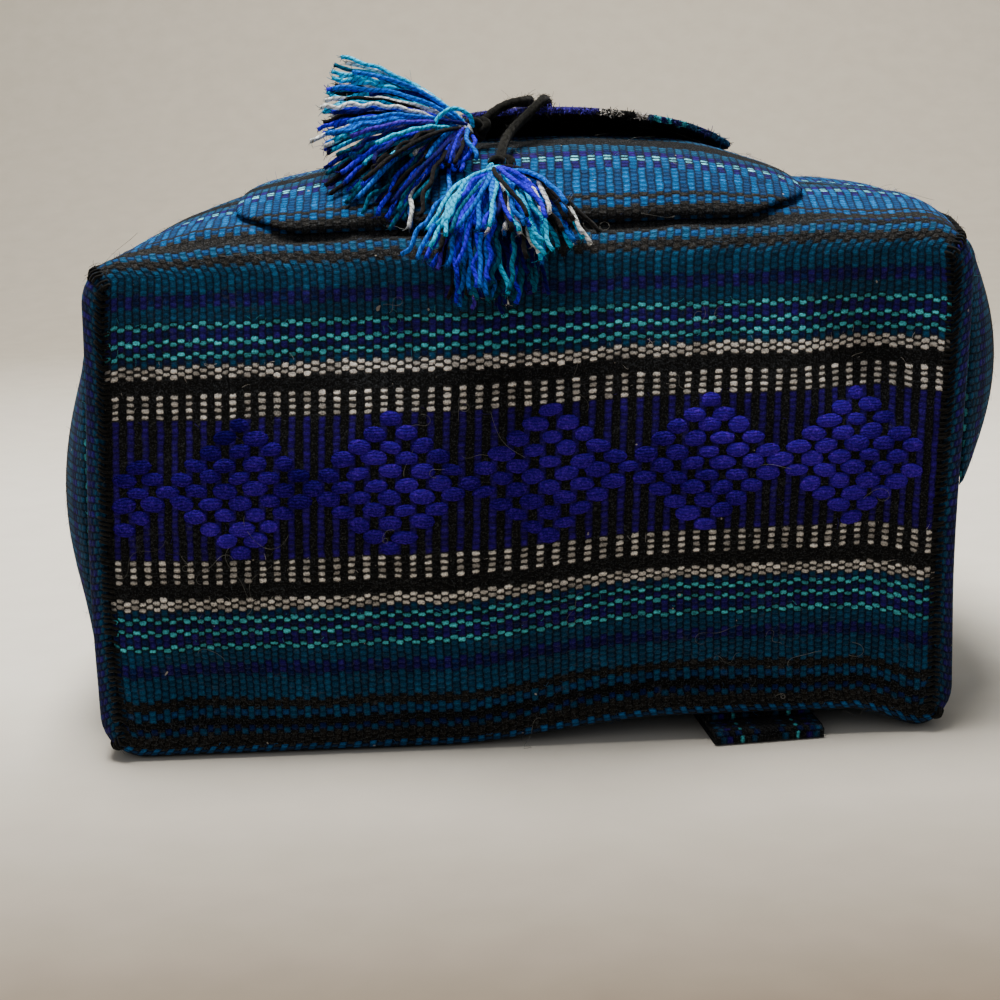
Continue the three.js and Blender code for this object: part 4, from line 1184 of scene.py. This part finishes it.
# turn, lift (degrees), reach: the middle line of a group of strands, and how far they spread
LEFT_FAN = (
    (174, 25, 0.90), (167, 16, 0.90), (182, 15, 0.93), (189, 3, 0.92), (178, 1, 0.92), (200, -7, 0.92),
    (188, -9, 0.92), (209, -19, 0.96), (221, -28, 0.98), (234, -36, 0.94), (217, -10, 0.84), (243, -42, 0.90),
)
FRONT_FAN = (
    (220, -38, 0.88), (232, -45, 0.84), (247, -54, 0.98), (263, -55, 0.98), (280, -54, 0.97),
    (297, -46, 0.85), (311, -40, 0.84), (320, -31, 0.84), (240, -60, 0.98), (262, -62, 0.98), (285, -60, 0.98),
    (236, -31, 0.70), (252, -35, 0.68), (270, -37, 0.70), (288, -34, 0.70), (304, -27, 0.72),
)


def cloth_tree(*pieces):
    """One search tree of several pieces as they show, modifiers included."""
    graph = bpy.context.evaluated_depsgraph_get()
    points, faces = [], []
    for piece in pieces:
        seen = piece.evaluated_get(graph)
        mesh = seen.to_mesh()
        start = len(points)
        points.extend(v.co.copy() for v in mesh.vertices)
        faces.extend([start + k for k in face.vertices] for face in mesh.polygons)
        seen.to_mesh_clear()
    return BVHTree.FromPolygons(points, faces)


carriers = cloth_tree(base_and_front, front_pocket, flap)


def clear_of_cloth(route, clearance):
    """Pushes a route's points out of the cloth and up to a clearance above it."""
    moved = []
    for point in to_frame(route):
        place = Vector(point)
        near, normal, _, _ = carriers.find_nearest(place)
        if near is not None:
            height = (place - near).dot(normal)
            if (place - near).length < 0.02 and height < clearance / 1000:
                place = near + normal * (clearance / 1000)
        moved.append(np.array(place) * 1000 - ORIGIN)
    return np.array(moved)


def heading(turn, lift):
    turn, lift = math.radians(turn), math.radians(lift)
    return np.array([math.cos(lift) * math.cos(turn), math.cos(lift) * math.sin(turn), math.sin(lift)])


def tassel_strands(neck, fan, length, bend, count, seed):
    draw = np.random.default_rng(seed)
    routes, slopes = [], []
    for k in range(count):
        turn, lift, reach = fan[k % len(fan)]
        turn += draw.normal(0, 9.0)
        lift += draw.normal(0, 4.5)
        reach = min(1.02, reach + draw.normal(0, 0.045)) * length
        start = np.array(neck) + draw.normal(0, 1.0, 3)
        knee = start + heading(turn + draw.normal(0, 8), lift + bend) * reach * 0.5
        end = start + heading(turn, lift) * reach
        s = np.linspace(0, 1, 24)[:, None]
        route = start * (1 - s) ** 2 + 2 * knee * s * (1 - s) + end * s ** 2
        sway = heading(turn + 90, 0) * draw.normal(0, 3.4)
        route = route + sway * np.sin(np.pi * s * draw.uniform(1, 2.4)) * s
        route = clear_of_cloth(route, STRAND / 2 + 0.4 + draw.uniform(0, 3.0))
        route = even_route(route[::3], 1.7)[0]
        t = np.linspace(0, 1, len(route))[:, None]
        crimp = np.sin(t * reach / draw.uniform(1.6, 3.4) + draw.uniform(0, 6)) * draw.uniform(0.3, 1.4)
        routes.append(route + crimp * t * heading(turn + 90, draw.uniform(-60, 60)))
        slopes.append(lift)
    return routes, np.array(slopes)


# cyan, blue, royal, navy, teal, white, black, violet
TASSEL_YARNS = (rgb(0, 196, 244), rgb(0, 104, 214), rgb(40, 0, 220), rgb(12, 4, 92),
                rgb(6, 92, 120), rgb(236, 240, 236), rgb(26, 24, 23), rgb(76, 44, 190))


def strand_finish(name):
    """Two-ply yarn, dyed by the strand's own number."""
    finish = Finish(name)
    place = finish.node("ShaderNodeTexCoord", output=3)
    dye = finish.node("ShaderNodeAttribute", {"attribute_name": "yarn"}, output=2)
    stops = [(k / len(TASSEL_YARNS), colour) for k, colour in enumerate(TASSEL_YARNS)]
    colour = finish.node("ShaderNodeValToRGB", {"stops": stops}, {0: dye})
    flat = finish.node("ShaderNodeUVMap", {"uv_map": "UVMap"})
    around = finish.node("ShaderNodeSeparateXYZ", None, {0: flat})
    along = Value(finish, around.socket.node.outputs[1])
    twist = ((around + along / STRAND_TWIST) * 2).fraction() * 2 - 1
    # Painted shade: the groove between the two plies is painted darker.
    groove_shade = 1 - twist.size() ** 3.0 * 0.75
    fibre = finish.noise(place, 750.0, detail=3.0, rough=0.8)
    broad = finish.noise(place, 150.0, detail=1.0)
    mottled = ((fibre - 0.5) * 2.2 + 0.55).most(0.12).least(1.0)
    light = groove_shade * (0.4 + mottled * 1.5) * (0.7 + broad * 0.7)
    finish.set(Base_Color=finish.scaled(colour, light), Roughness=0.9)
    finish.set(Specular_IOR_Level=0.08, Sheen_Weight=0.06, Sheen_Roughness=0.5)
    finish.set(Normal=finish.node("ShaderNodeBump", None, {"Strength": 1.0, "Distance": 0.0008, "Height": fibre}))
    return finish.material


tassel_yarn = strand_finish("tassel_yarn")


def tassel(name, neck, fan, length, bend, count, seed, chances):
    routes, slopes = tassel_strands(neck, fan, length, bend, count, seed)
    draw = np.random.default_rng(seed + 1)
    labels = []
    for slope in slopes:
        chance = np.array(chances(slope), float)
        kind = draw.choice(len(TASSEL_YARNS), p=chance / chance.sum())
        labels.append((kind + 0.5) / len(TASSEL_YARNS))
    mesh = tubes(name, routes, twisted(2, STRAND_TWIST, STRAND / 2, 0.28), 6, labels=labels)
    return shown(name, mesh, tassel_yarn), routes, labels


def left_chances(slope):
    """Cyan and white above, royal blue in the middle, teal and navy below, whose dark dyes also paint shade."""
    if slope > 8:
        return (8, 3, 2, 0, 1, 2, 0.8, 0.8)
    if slope > -8:
        return (3, 3, 5, 1, 1, 1.2, 0.8, 1.5)
    return (0.4, 1.2, 2, 5, 6, 0.4, 1.3, 0.8)


def front_chances(slope):
    """The strands on top are bright, the long ones under them mostly dark dyes, which also paint their shade."""
    if slope > -48:
        return (4, 3.5, 4, 0.3, 0.5, 2.2, 1.8, 2)
    return (0.5, 1.2, 1.6, 4, 6, 0.4, 2, 0.6)


left_tassel, left_strands, left_labels = tassel(
    "left_tassel_strands", LEFT_NECK, LEFT_FAN, LEFT_LENGTH, 24, 132, 11, left_chances)
front_tassel, front_strands, front_labels = tassel(
    "front_tassel_strands", FRONT_NECK, FRONT_FAN, FRONT_LENGTH, 34, 144, 23, front_chances)

# %% [markdown]
# A cord ends in a knot that keeps its tassel from slipping off, and below it a few turns of yarn
# bind the strands together. The left tassel also has shorter strands that fall beside its knot,
# and one loose strand arches over it.

# %% Knots, bindings and a loose strand
KNOT = 1.35              # size of the knot's middle line
BINDING_RADIUS = 3.6
BINDING_PITCH = 1.9
BINDING_TURNS = 3.5


def knot(name, place):
    """An overhand knot: its middle line is a trefoil."""
    t = np.linspace(0, 2 * np.pi, 60)
    line = np.stack([np.sin(t) + 2 * np.sin(2 * t), -np.sin(3 * t), np.cos(t) - 2 * np.cos(2 * t)], axis=-1)
    mesh = tubes(name, [np.array(place) + line * KNOT], twisted(CORD_PLIES, CORD_TWIST, CORD * 0.46, 0.2), 12)
    return shown(name, mesh, cord_wool)


def binding(name, neck, fan, label):
    """Turns of yarn round the top of the strands."""
    along = np.mean([heading(turn, lift) for turn, lift, _ in fan], axis=0)
    along /= np.linalg.norm(along)
    side = np.cross(along, ASIDE)
    side /= np.linalg.norm(side)
    up = np.cross(along, side)
    turn = np.linspace(0, 2 * np.pi * BINDING_TURNS, 70)[:, None]
    run = turn / (2 * np.pi) * BINDING_PITCH - 1.5
    line = np.array(neck) + along * run + (side * np.cos(turn) + up * np.sin(turn)) * BINDING_RADIUS
    mesh = tubes(name, [line], twisted(2, STRAND_TWIST, STRAND / 2, 0.28), 7, labels=[label])
    return shown(name, mesh, tassel_yarn)


MIDDLE_FAN = ((206, -14, 0.95), (218, -22, 1.0), (232, -28, 0.95), (246, -30, 0.9), (258, -34, 0.8))
middle_strands, _, _ = tassel("left_short_strands", LEFT_NECK, MIDDLE_FAN, 36.0, 30, 40, 37,
                              lambda slope: (1, 1, 5, 1, 0.5, 1.6, 3, 3))
LOOSE_STRANDS = (
    (0.06, ((3, -1, 1), (1, -6, 7), (-5, -9, 9.5), (-11, -10, 6), (-13.5, -10, 0), (-14, -9, -6), (-14.5, -8, -11))),
    (0.44, ((1, 0, 2), (-7, -1, 9), (-16, -2, 14.5), (-27, -3, 17), (-38, -3, 16))),
    (0.68, ((2, -2, 0), (-4, -8, -3), (-11, -12, -9), (-18, -14, -16), (-22, -14, -21))),
)
loose = [even_route(np.array(LEFT_NECK) + np.array(places), 1.5)[0] for _, places in LOOSE_STRANDS]
mesh = tubes("left_loose_strands", loose, twisted(2, STRAND_TWIST, STRAND / 2, 0.28), 7,
             labels=[label for label, _ in LOOSE_STRANDS])
left_parts = [middle_strands, knot("left_knot", np.array(LEFT_NECK) + (4.5, -0.5, 1.5)),
              binding("left_binding", LEFT_NECK, LEFT_FAN, 0.69),
              shown("left_loose_strands", mesh, tassel_yarn)]
front_parts = [knot("front_knot", np.array(FRONT_NECK) + (2.0, 4.0, 2.2)),
               binding("front_binding", FRONT_NECK, FRONT_FAN, 0.06)]

for piece, node in ((left_tassel, "tassel_left"), (front_tassel, "tassel_front")):
    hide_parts(node)

for cord, route, length, node, parts in (
        (left_cord, left_route, left_length, "drawcord_left", [left_tassel, *left_parts]),
        (right_cord, right_route, right_length, "drawcord_right", [front_tassel, *front_parts])):
    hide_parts(node)
    path = to_frame(route)
    length / 1000

# %% [markdown]
# Stitches and loose fibres are thin closed tubes by the thousand. Making them one at a time is
# slow, so one long grid is cut into strips, a strip for each, and every strip is rolled up along
# its own route.

# %% Thin tubes from one grid
def fibres(name, routes, radius, sides, charts=None, labels=None):
    """routes is an array of count x steps x 3 in millimetres, radius one of count x steps."""
    count, steps = routes.shape[:2]
    routes = np.maximum(routes, (-np.inf, -np.inf, radius.max()))      # nothing goes through the floor
    bm = bmesh.new()
    bmesh.ops.create_grid(bm, x_segments=sides, y_segments=count * steps - 1, size=0.5)
    between = [face for k, face in enumerate(bm.faces) if k // sides % steps == steps - 1]
    bmesh.ops.delete(bm, geom=between, context="FACES")
    mesh = bpy.data.meshes.new(name)
    bm.to_mesh(mesh)
    bm.free()
    tangent = np.gradient(routes, axis=1)
    tangent /= np.linalg.norm(tangent, axis=2, keepdims=True)
    side = np.cross(tangent, ASIDE)
    side /= np.linalg.norm(side, axis=2, keepdims=True)
    up = np.cross(tangent, side)
    turn = 2 * np.pi * np.arange(sides + 1)[:, None] / sides
    ring = (routes[:, :, None] + radius[:, :, None, None]
            * (side[:, :, None] * np.cos(turn) + up[:, :, None] * np.sin(turn)))
    mesh.vertices.foreach_set("co", to_frame(ring.reshape(-1, 3)).ravel())
    each = steps * (sides + 1)
    set_uv(mesh, np.repeat(np.zeros((count, 2)) if charts is None else charts, each, axis=0))
    tag = mesh.attributes.new("yarn", "FLOAT", "POINT")
    tag.data.foreach_set("value", np.repeat(np.zeros(count) if labels is None else labels, each))
    closed = bmesh.new()
    closed.from_mesh(mesh)
    bmesh.ops.remove_doubles(closed, verts=closed.verts, dist=1e-7)
    bmesh.ops.holes_fill(closed, edges=[edge for edge in closed.edges if edge.is_boundary], sides=0)
    closed.to_mesh(mesh)
    closed.free()
    print(name, "fibres:", count, "faces:", len(mesh.polygons))
    return mesh


# %% [markdown]
# The wrap and the gussets are joined by a seam on each side that runs down the back, up the edge
# of the base and along the front. The seam is oversewn in black wool: each stitch climbs out of
# one cloth, leans over the join and goes into the other.

# %% Oversewn side seams
STITCH_PITCH = 2.1
STITCH_LEAN = 1.4
STITCH_RADIUS = 0.55
STITCH_BITE = (0.0065, 0.013)       # shares of the wrap and of the gusset that a stitch reaches into
HEM_LENGTH_SEWN = 30.0              # the seams stop short of the mouth's hem
BAG_MIDDLE = np.array([0.0, LENGTH / 2, DEPTH / 2])


def on_wrap(side, at, share):
    """at runs along a side's seam, from the mouth down the back, up the base and along the front."""
    share = np.full_like(at, share if side == "left" else 1 - share)
    return wrap_cloth_point(share, at - CLOTH_LENGTH - HALF_BASE)


def on_gusset(side, at, share):
    from_base = at - CLOTH_LENGTH
    up = clamp(from_base / BASE_HEIGHT, 0, 1)
    run = np.maximum(np.maximum(-from_base, from_base - BASE_HEIGHT), 0)
    level = np.where(from_base < 0, share, np.where(up < 1, up, 1 - share))
    run = np.where((from_base >= 0) & (up < 1), share * GUSSET_WIDTH, run)
    return body_point(side, level if side == "left" else 1 - level, run)


def seam_stitches(side, draw):
    run = np.arange(HEM_LENGTH_SEWN, 2 * CLOTH_LENGTH + BASE_HEIGHT - HEM_LENGTH_SEWN, STITCH_PITCH)
    run = run + draw.normal(0, 0.35, len(run))
    bite = 1 + draw.normal(0, 0.12, len(run))
    first = on_wrap(side, run, STITCH_BITE[0])
    second = on_gusset(side, run + STITCH_LEAN, STITCH_BITE[1])
    middle = (on_wrap(side, run + STITCH_LEAN / 2, 0.0) + on_gusset(side, run + STITCH_LEAN / 2, 0.0)) / 2
    tangent = on_wrap(side, run + 1, 0.0) - on_wrap(side, run - 1, 0.0)
    out = np.cross(tangent, second - first)
    out /= np.linalg.norm(out, axis=1, keepdims=True)
    out *= np.sign(np.sum(out * (middle - BAG_MIDDLE), axis=1, keepdims=True))
    first = middle + (first - middle) * bite[:, None]
    second = middle + (second - middle) * bite[:, None]
    lifts = (-0.9, 0.35, 0.85, 1.05, 0.85, 0.35, -0.9)
    shares = (-1.0, -0.72, -0.35, 0.0, 0.35, 0.72, 1.0)
    route = []
    for share, lift in zip(shares, lifts):
        reach = (first - middle) * -share if share < 0 else (second - middle) * share
        route.append(middle + reach + out * lift)
    return np.stack(route, axis=1), middle, out


draw = np.random.default_rng(41)
sewing_wool = wool("black_sewing_wool", rgb(5, 5, 5), rgb(30, 29, 26), fibre=700.0)
seam_middles, seam_outs = [], []
for side in ("left", "right"):
    routes, middle, out = seam_stitches(side, draw)
    seam_middles.append(middle)
    seam_outs.append(out)
    radius = np.full(routes.shape[:2], STITCH_RADIUS) * draw.uniform(0.8, 1.25, (len(routes), 1))
    stitches = shown(f"{side}_seam_stitches", fibres(f"{side}_seam_stitches", routes, radius, 6), sewing_wool)

# %% [markdown]
# Hand-spun wool sheds: short fibres stand off every face and show most against the pale floor,
# where they soften the bag's outline. Each takes the colour of the stripe that it grows from, so
# its root's place on the flat cloth is kept as its UV map.

# %% Fibres that stand off the cloth
FUZZ_RADIUS = 0.075
FUZZ_STEPS = 4


def roots_on(pieces, count, draw):
    """Random places on the panels' outer faces, their outward directions and flat places."""
    centres, outward, charts, areas = [], [], [], []
    for piece in pieces:
        mesh = piece.data
        many = len(mesh.polygons)
        centre, normal, area = np.empty(many * 3), np.empty(many * 3), np.empty(many)
        start, flat = np.empty(many, int), np.empty(len(mesh.loops) * 2)
        mesh.polygons.foreach_get("center", centre)
        mesh.polygons.foreach_get("normal", normal)
        mesh.polygons.foreach_get("area", area)
        mesh.polygons.foreach_get("loop_start", start)
        mesh.uv_layers[0].data.foreach_get("uv", flat)
        centres.append(centre.reshape(-1, 3) * 1000 - ORIGIN)
        outward.append(normal.reshape(-1, 3))
        charts.append(flat.reshape(-1, 2)[start])
        areas.append(area)
    centres, outward, charts = np.vstack(centres), np.vstack(outward), np.vstack(charts)
    areas = np.concatenate(areas) * (centres[:, 2] > 5)
    chosen = draw.choice(len(areas), count, p=areas / areas.sum())
    return centres[chosen], outward[chosen], charts[chosen]


def standing(roots, outward, lengths, stand, draw):
    """Short curved routes that leave the cloth and lean over."""
    aside = np.cross(outward, draw.normal(0, 1, roots.shape))
    aside /= np.linalg.norm(aside, axis=1, keepdims=True)
    round_it = np.cross(outward, aside)
    s = np.linspace(0, 1, FUZZ_STEPS)[None, :, None]
    high = draw.uniform(*stand, (len(roots), 1, 1))
    curl = draw.normal(0, 0.5, (len(roots), 1, 1))
    run = outward[:, None] * high * (s - 0.35 * s ** 2)
    run = run + aside[:, None] * (1 - high) * s + round_it[:, None] * curl * s ** 2
    return roots[:, None] - outward[:, None] * 0.2 + run * lengths[:, None, None]


def fuzz_finish(name, stripes, lift=1.3):
    finish = Finish(name)
    flat = finish.node("ShaderNodeUVMap", {"uv_map": "UVMap"})
    chart = finish.node("ShaderNodeSeparateXYZ", None, {0: flat})
    v = Value(finish, chart.socket.node.outputs[1])
    kind = finish.node("ShaderNodeAttribute", {"attribute_name": "yarn"}, output=2)
    length = cloth_length(stripes)
    share = (v.size() / length).math("PINGPONG", 1.0)
    even = finish.node("ShaderNodeValToRGB", {"stops": stripe_stops(stripes, 0, length)}, {0: share})
    odd = finish.node("ShaderNodeValToRGB", {"stops": stripe_stops(stripes, 1, length)}, {0: share})
    colour = finish.mix(kind.above(0.5), even, odd)
    colour = finish.mix(0.25, colour, rgb(74, 74, 72))
    finish.set(Base_Color=finish.scaled(colour, kind * 0.6 + lift - 0.3), Roughness=1.0)
    finish.set(Specular_IOR_Level=0.1)
    return finish.material


cloth_fuzz = fuzz_finish("cloth_fuzz", STRIPES)
dressed = [base_and_front, back, front_pocket, *side_pockets]
draw = np.random.default_rng(57)
roots, outward, charts = roots_on(dressed, 5600, draw)
routes = standing(roots, outward, draw.gamma(5.0, 0.55, len(roots)), (0.2, 0.8), draw)
radius = np.tile(np.linspace(1.0, 0.45, FUZZ_STEPS), (len(roots), 1)) * FUZZ_RADIUS
mesh = fibres("cloth_fuzz", routes, radius, 3, charts, draw.uniform(0, 1, len(roots)))
fuzz = shown("cloth_fuzz", mesh, cloth_fuzz)

# %% Fibres along the seams and long loose hairs
SEAM_FUZZ = 1500
LONG_HAIRS = 130
middles, outs = np.vstack(seam_middles), np.vstack(seam_outs)
pick = draw.integers(0, len(middles), SEAM_FUZZ)
roots = middles[pick] + draw.normal(0, 1.1, (SEAM_FUZZ, 3))
routes = standing(roots, outs[pick], draw.gamma(6.0, 0.6, SEAM_FUZZ), (0.3, 0.9), draw)
radius = np.tile(np.linspace(1.0, 0.5, FUZZ_STEPS), (SEAM_FUZZ, 1)) * 0.1
mesh = fibres("seam_fuzz", routes, radius, 3)
seam_fuzz = shown("seam_fuzz", mesh, sewing_wool)


def loose_hair(root, outward, draw):
    """A long hair that lies on the cloth in curls."""
    aside = np.cross(outward, draw.normal(0, 1, 3))
    aside /= np.linalg.norm(aside)
    round_it = np.cross(outward, aside)
    s = np.linspace(0, 1, 26)
    turn = draw.normal(0, 2.2) * s + draw.normal(0, 3.2) * s ** 2
    turn = turn + draw.uniform(0, 1.5) * np.sin(s * draw.uniform(4, 9))
    step = draw.uniform(10, 30) / len(s)
    across, along = np.cumsum(np.cos(turn)) * step, np.cumsum(np.sin(turn)) * step
    rise = 0.5 + draw.uniform(0, 1.6) * np.sin(np.pi * s) ** 2
    line = root + aside * across[:, None] + round_it * along[:, None] + outward * rise[:, None]
    return clear_of_cloth(line, 0.3)


roots, outward, charts = roots_on([base_and_front, front_pocket], LONG_HAIRS, draw)
routes = np.stack([loose_hair(root, out, draw) for root, out in zip(roots, outward)])
hair_wool = wool("pale_loose_wool", rgb(58, 56, 52), rgb(150, 148, 140), fibre=300.0)
mesh = fibres("loose_hairs", routes, np.full(routes.shape[:2], 0.07), 3)
hairs = shown("loose_hairs", mesh, hair_wool)

# %% [markdown]
# The flap's free edge is the raw end of its warp, so a short ravelled fringe of every stripe's
# colour stands off it.

# %% Ravelled edge of the flap
RAVELS = 1700
u = draw.uniform(0.01, 0.99, RAVELS)
rim = flap_place(u, 0 * u)
chart = np.stack(flap_chart(u, 0 * u), axis=-1)
ahead = rim - flap_place(u, 0 * u + 0.02)
ahead /= np.linalg.norm(ahead, axis=1, keepdims=True)
roots = rim + np.array([0, 0, -1.0]) * draw.uniform(0, SIDE_WALL, (RAVELS, 1))
routes = standing(roots, ahead + np.array([0, 0, 0.25]), draw.gamma(4.0, 0.34, RAVELS), (0.3, 0.9), draw)
radius = np.tile(np.linspace(1.0, 0.5, FUZZ_STEPS), (RAVELS, 1)) * draw.uniform(0.1, 0.3, (RAVELS, 1))
mesh = fibres("flap_ravelled_edge", routes, radius, 4, chart, draw.uniform(0, 1, RAVELS))
ravelled = shown("flap_ravelled_edge", mesh, fuzz_finish("ravelled_edge", FLAP_STRIPES, 1.2))

# %% [markdown]
# The cords and knots are the hairiest of all, and each strand of a tassel has a few fibres loose.

# %% Fibres on the cords and the tassels
CORD_FUZZ = 1100


def round_route(route, radius, count, draw):
    """Random places round a cord, and their outward directions."""
    side, up = frames_along(route)
    k = draw.integers(0, len(route), count)
    turn = draw.uniform(0, 2 * np.pi, (count, 1))
    out = side[k] * np.cos(turn) + up[k] * np.sin(turn)
    return route[k] + out * radius, out


for name, route, parts_of in (("left", left_route, left_cord), ("right", right_route, right_cord)):
    seen = route[-150:]
    roots, outward = round_route(seen, CORD * 0.4, CORD_FUZZ, draw)
    routes = standing(roots, outward, draw.gamma(5.0, 0.4, CORD_FUZZ), (0.2, 0.8), draw)
    radius = np.tile(np.linspace(1.0, 0.5, FUZZ_STEPS), (CORD_FUZZ, 1)) * 0.09
    piece = shown(f"{name}_cord_fuzz", fibres(f"{name}_cord_fuzz", routes, radius, 3), cord_wool)

TASSEL_FUZZ = 1500
FRAYS = 4                # fibres that spread from a strand's cut end


def frayed_ends(strands, draw):
    """Places just inside the strands' ends, and directions that spread from them."""
    along = np.array([route[-1] - route[-3] for route in strands])
    along = np.repeat(along / np.linalg.norm(along, axis=1, keepdims=True), FRAYS, axis=0)
    ends = np.repeat([route[-1] for route in strands], FRAYS, axis=0) - along * 0.8
    outward = along + draw.normal(0, 0.3, along.shape)
    outward /= np.linalg.norm(outward, axis=1, keepdims=True)
    return ends + draw.normal(0, 0.3, ends.shape), outward


for name, strands, labels in (("left", left_strands, left_labels), ("front", front_strands, front_labels)):
    chosen = draw.integers(0, len(strands), TASSEL_FUZZ)
    spots = [round_route(strands[k], STRAND * 0.4, 1, draw) for k in chosen]
    roots = np.concatenate([root for root, _ in spots])
    outward = np.concatenate([out for _, out in spots])
    routes = standing(roots, outward, draw.gamma(4.0, 0.8, TASSEL_FUZZ), (0.2, 0.8), draw)
    ends, away = frayed_ends(strands, draw)
    frays = standing(ends, away, draw.uniform(2.0, 4.5, len(ends)), (0.8, 0.98), draw)
    routes = np.concatenate([routes, frays])
    thick = np.where(np.arange(len(routes)) < TASSEL_FUZZ, 0.11, 0.24)
    radius = np.linspace(1.0, 0.4, FUZZ_STEPS) * thick[:, None]
    tags = np.array([labels[k] for k in chosen] + list(np.repeat(labels, FRAYS)))
    mesh = fibres(f"{name}_tassel_fuzz", routes, radius, 3, labels=tags)
    shown(f"{name}_tassel_fuzz", mesh, tassel_yarn)
# %% [markdown]
# A pale floor runs back and curves up behind the bag, so that no horizon shows. In front of
# the bag it is painted dark as painted shade, and the curve is painted darker than beside the bag.

# %% Floor and light
FLOOR = 4.0
CURVE_START, CURVE_RADIUS = 1.2, 1.2

mesh, u, v = grid_mesh("floor", 40, 80)
across = (u - 0.5) * 2 * FLOOR
run = v * (FLOOR + CURVE_START + CURVE_RADIUS * math.pi / 2 + FLOOR) - FLOOR
turn = clamp((run - CURVE_START) / CURVE_RADIUS, 0, math.pi / 2)
past = np.maximum(0, run - CURVE_START - CURVE_RADIUS * math.pi / 2)
depth = np.minimum(run, CURVE_START) + CURVE_RADIUS * np.sin(turn)
height = CURVE_RADIUS * (1 - np.cos(turn)) + past
mesh.vertices.foreach_set("co", np.stack([across, depth, height], axis=-1).ravel())
mesh.polygons.foreach_set("use_smooth", np.ones(len(mesh.polygons), bool))
mesh.update()
floor = bpy.data.objects.new("floor", mesh)
bpy.context.scene.collection.objects.link(floor)
paper = Finish("pale_floor")
place = paper.node("ShaderNodeTexCoord", output=3)
grain = paper.noise(place, 40.0, detail=3.0)
depth = paper.node("ShaderNodeSeparateXYZ", None, {0: place})
depth = Value(paper, depth.socket.node.outputs[1])
# Painted shade: the floor is painted dark in front of the bag and pale beside it.
behind = ((depth + 0.45) / 0.36).most(0.0).least(1.0)
distant = ((depth - 0.35) / 0.8).most(0.0).least(1.0)
near = paper.mix(grain, rgb(106, 90, 71), rgb(122, 105, 85))
beside = paper.mix(grain, rgb(236, 229, 214), rgb(246, 240, 226))
wall = paper.mix(grain, rgb(186, 177, 160), rgb(200, 191, 175))
ground = paper.mix(behind, near, beside)
paper.set(Base_Color=paper.mix(distant, ground, wall), Roughness=0.95)
paper.set(Specular_IOR_Level=0.1)
mesh.materials.append(paper.material)


def soft_light(name, place, aim, size, power, colour):
    light = bpy.data.lights.new(name, "AREA")
    light.shape = "DISK"
    light.size = size
    light.energy = power
    light.color = colour
    lamp = bpy.data.objects.new(name, light)
    bpy.context.scene.collection.objects.link(lamp)
    lamp.location = place
    lamp.rotation_euler = (Vector(aim) - Vector(place)).to_track_quat("-Z", "Y").to_euler()


soft_light("overhead", (-0.2, -0.08, 1.9), (0.0, -0.1, 0.1), 0.9, 62, (1.0, 0.975, 0.94))
soft_light("backdrop", (0.3, 0.8, 1.7), (0.2, 2.2, 0.7), 1.0, 26, (1.0, 0.975, 0.93))
soft_light("front_fill", (-0.9, -1.6, 1.1), (0.0, -0.1, 0.1), 1.2, 2.0, (0.95, 0.97, 1.0))
world = bpy.data.worlds.new("room")
world.use_nodes = True
world.node_tree.nodes["Background"].inputs["Color"].default_value = (0.9, 0.93, 1.0, 1.0)
world.node_tree.nodes["Background"].inputs["Strength"].default_value = 0.3
bpy.context.scene.world = world

# %% Sizes of the dressed bag and the plain one
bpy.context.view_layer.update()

graph = bpy.context.evaluated_depsgraph_get()
counts = {piece.name: len(piece.evaluated_get(graph).data.loop_triangles)
          for piece in bpy.data.objects if piece.type == "MESH"}
print("triangles:", sum(counts.values()), "most:", sorted(counts.items(), key=lambda item: -item[1])[:6])
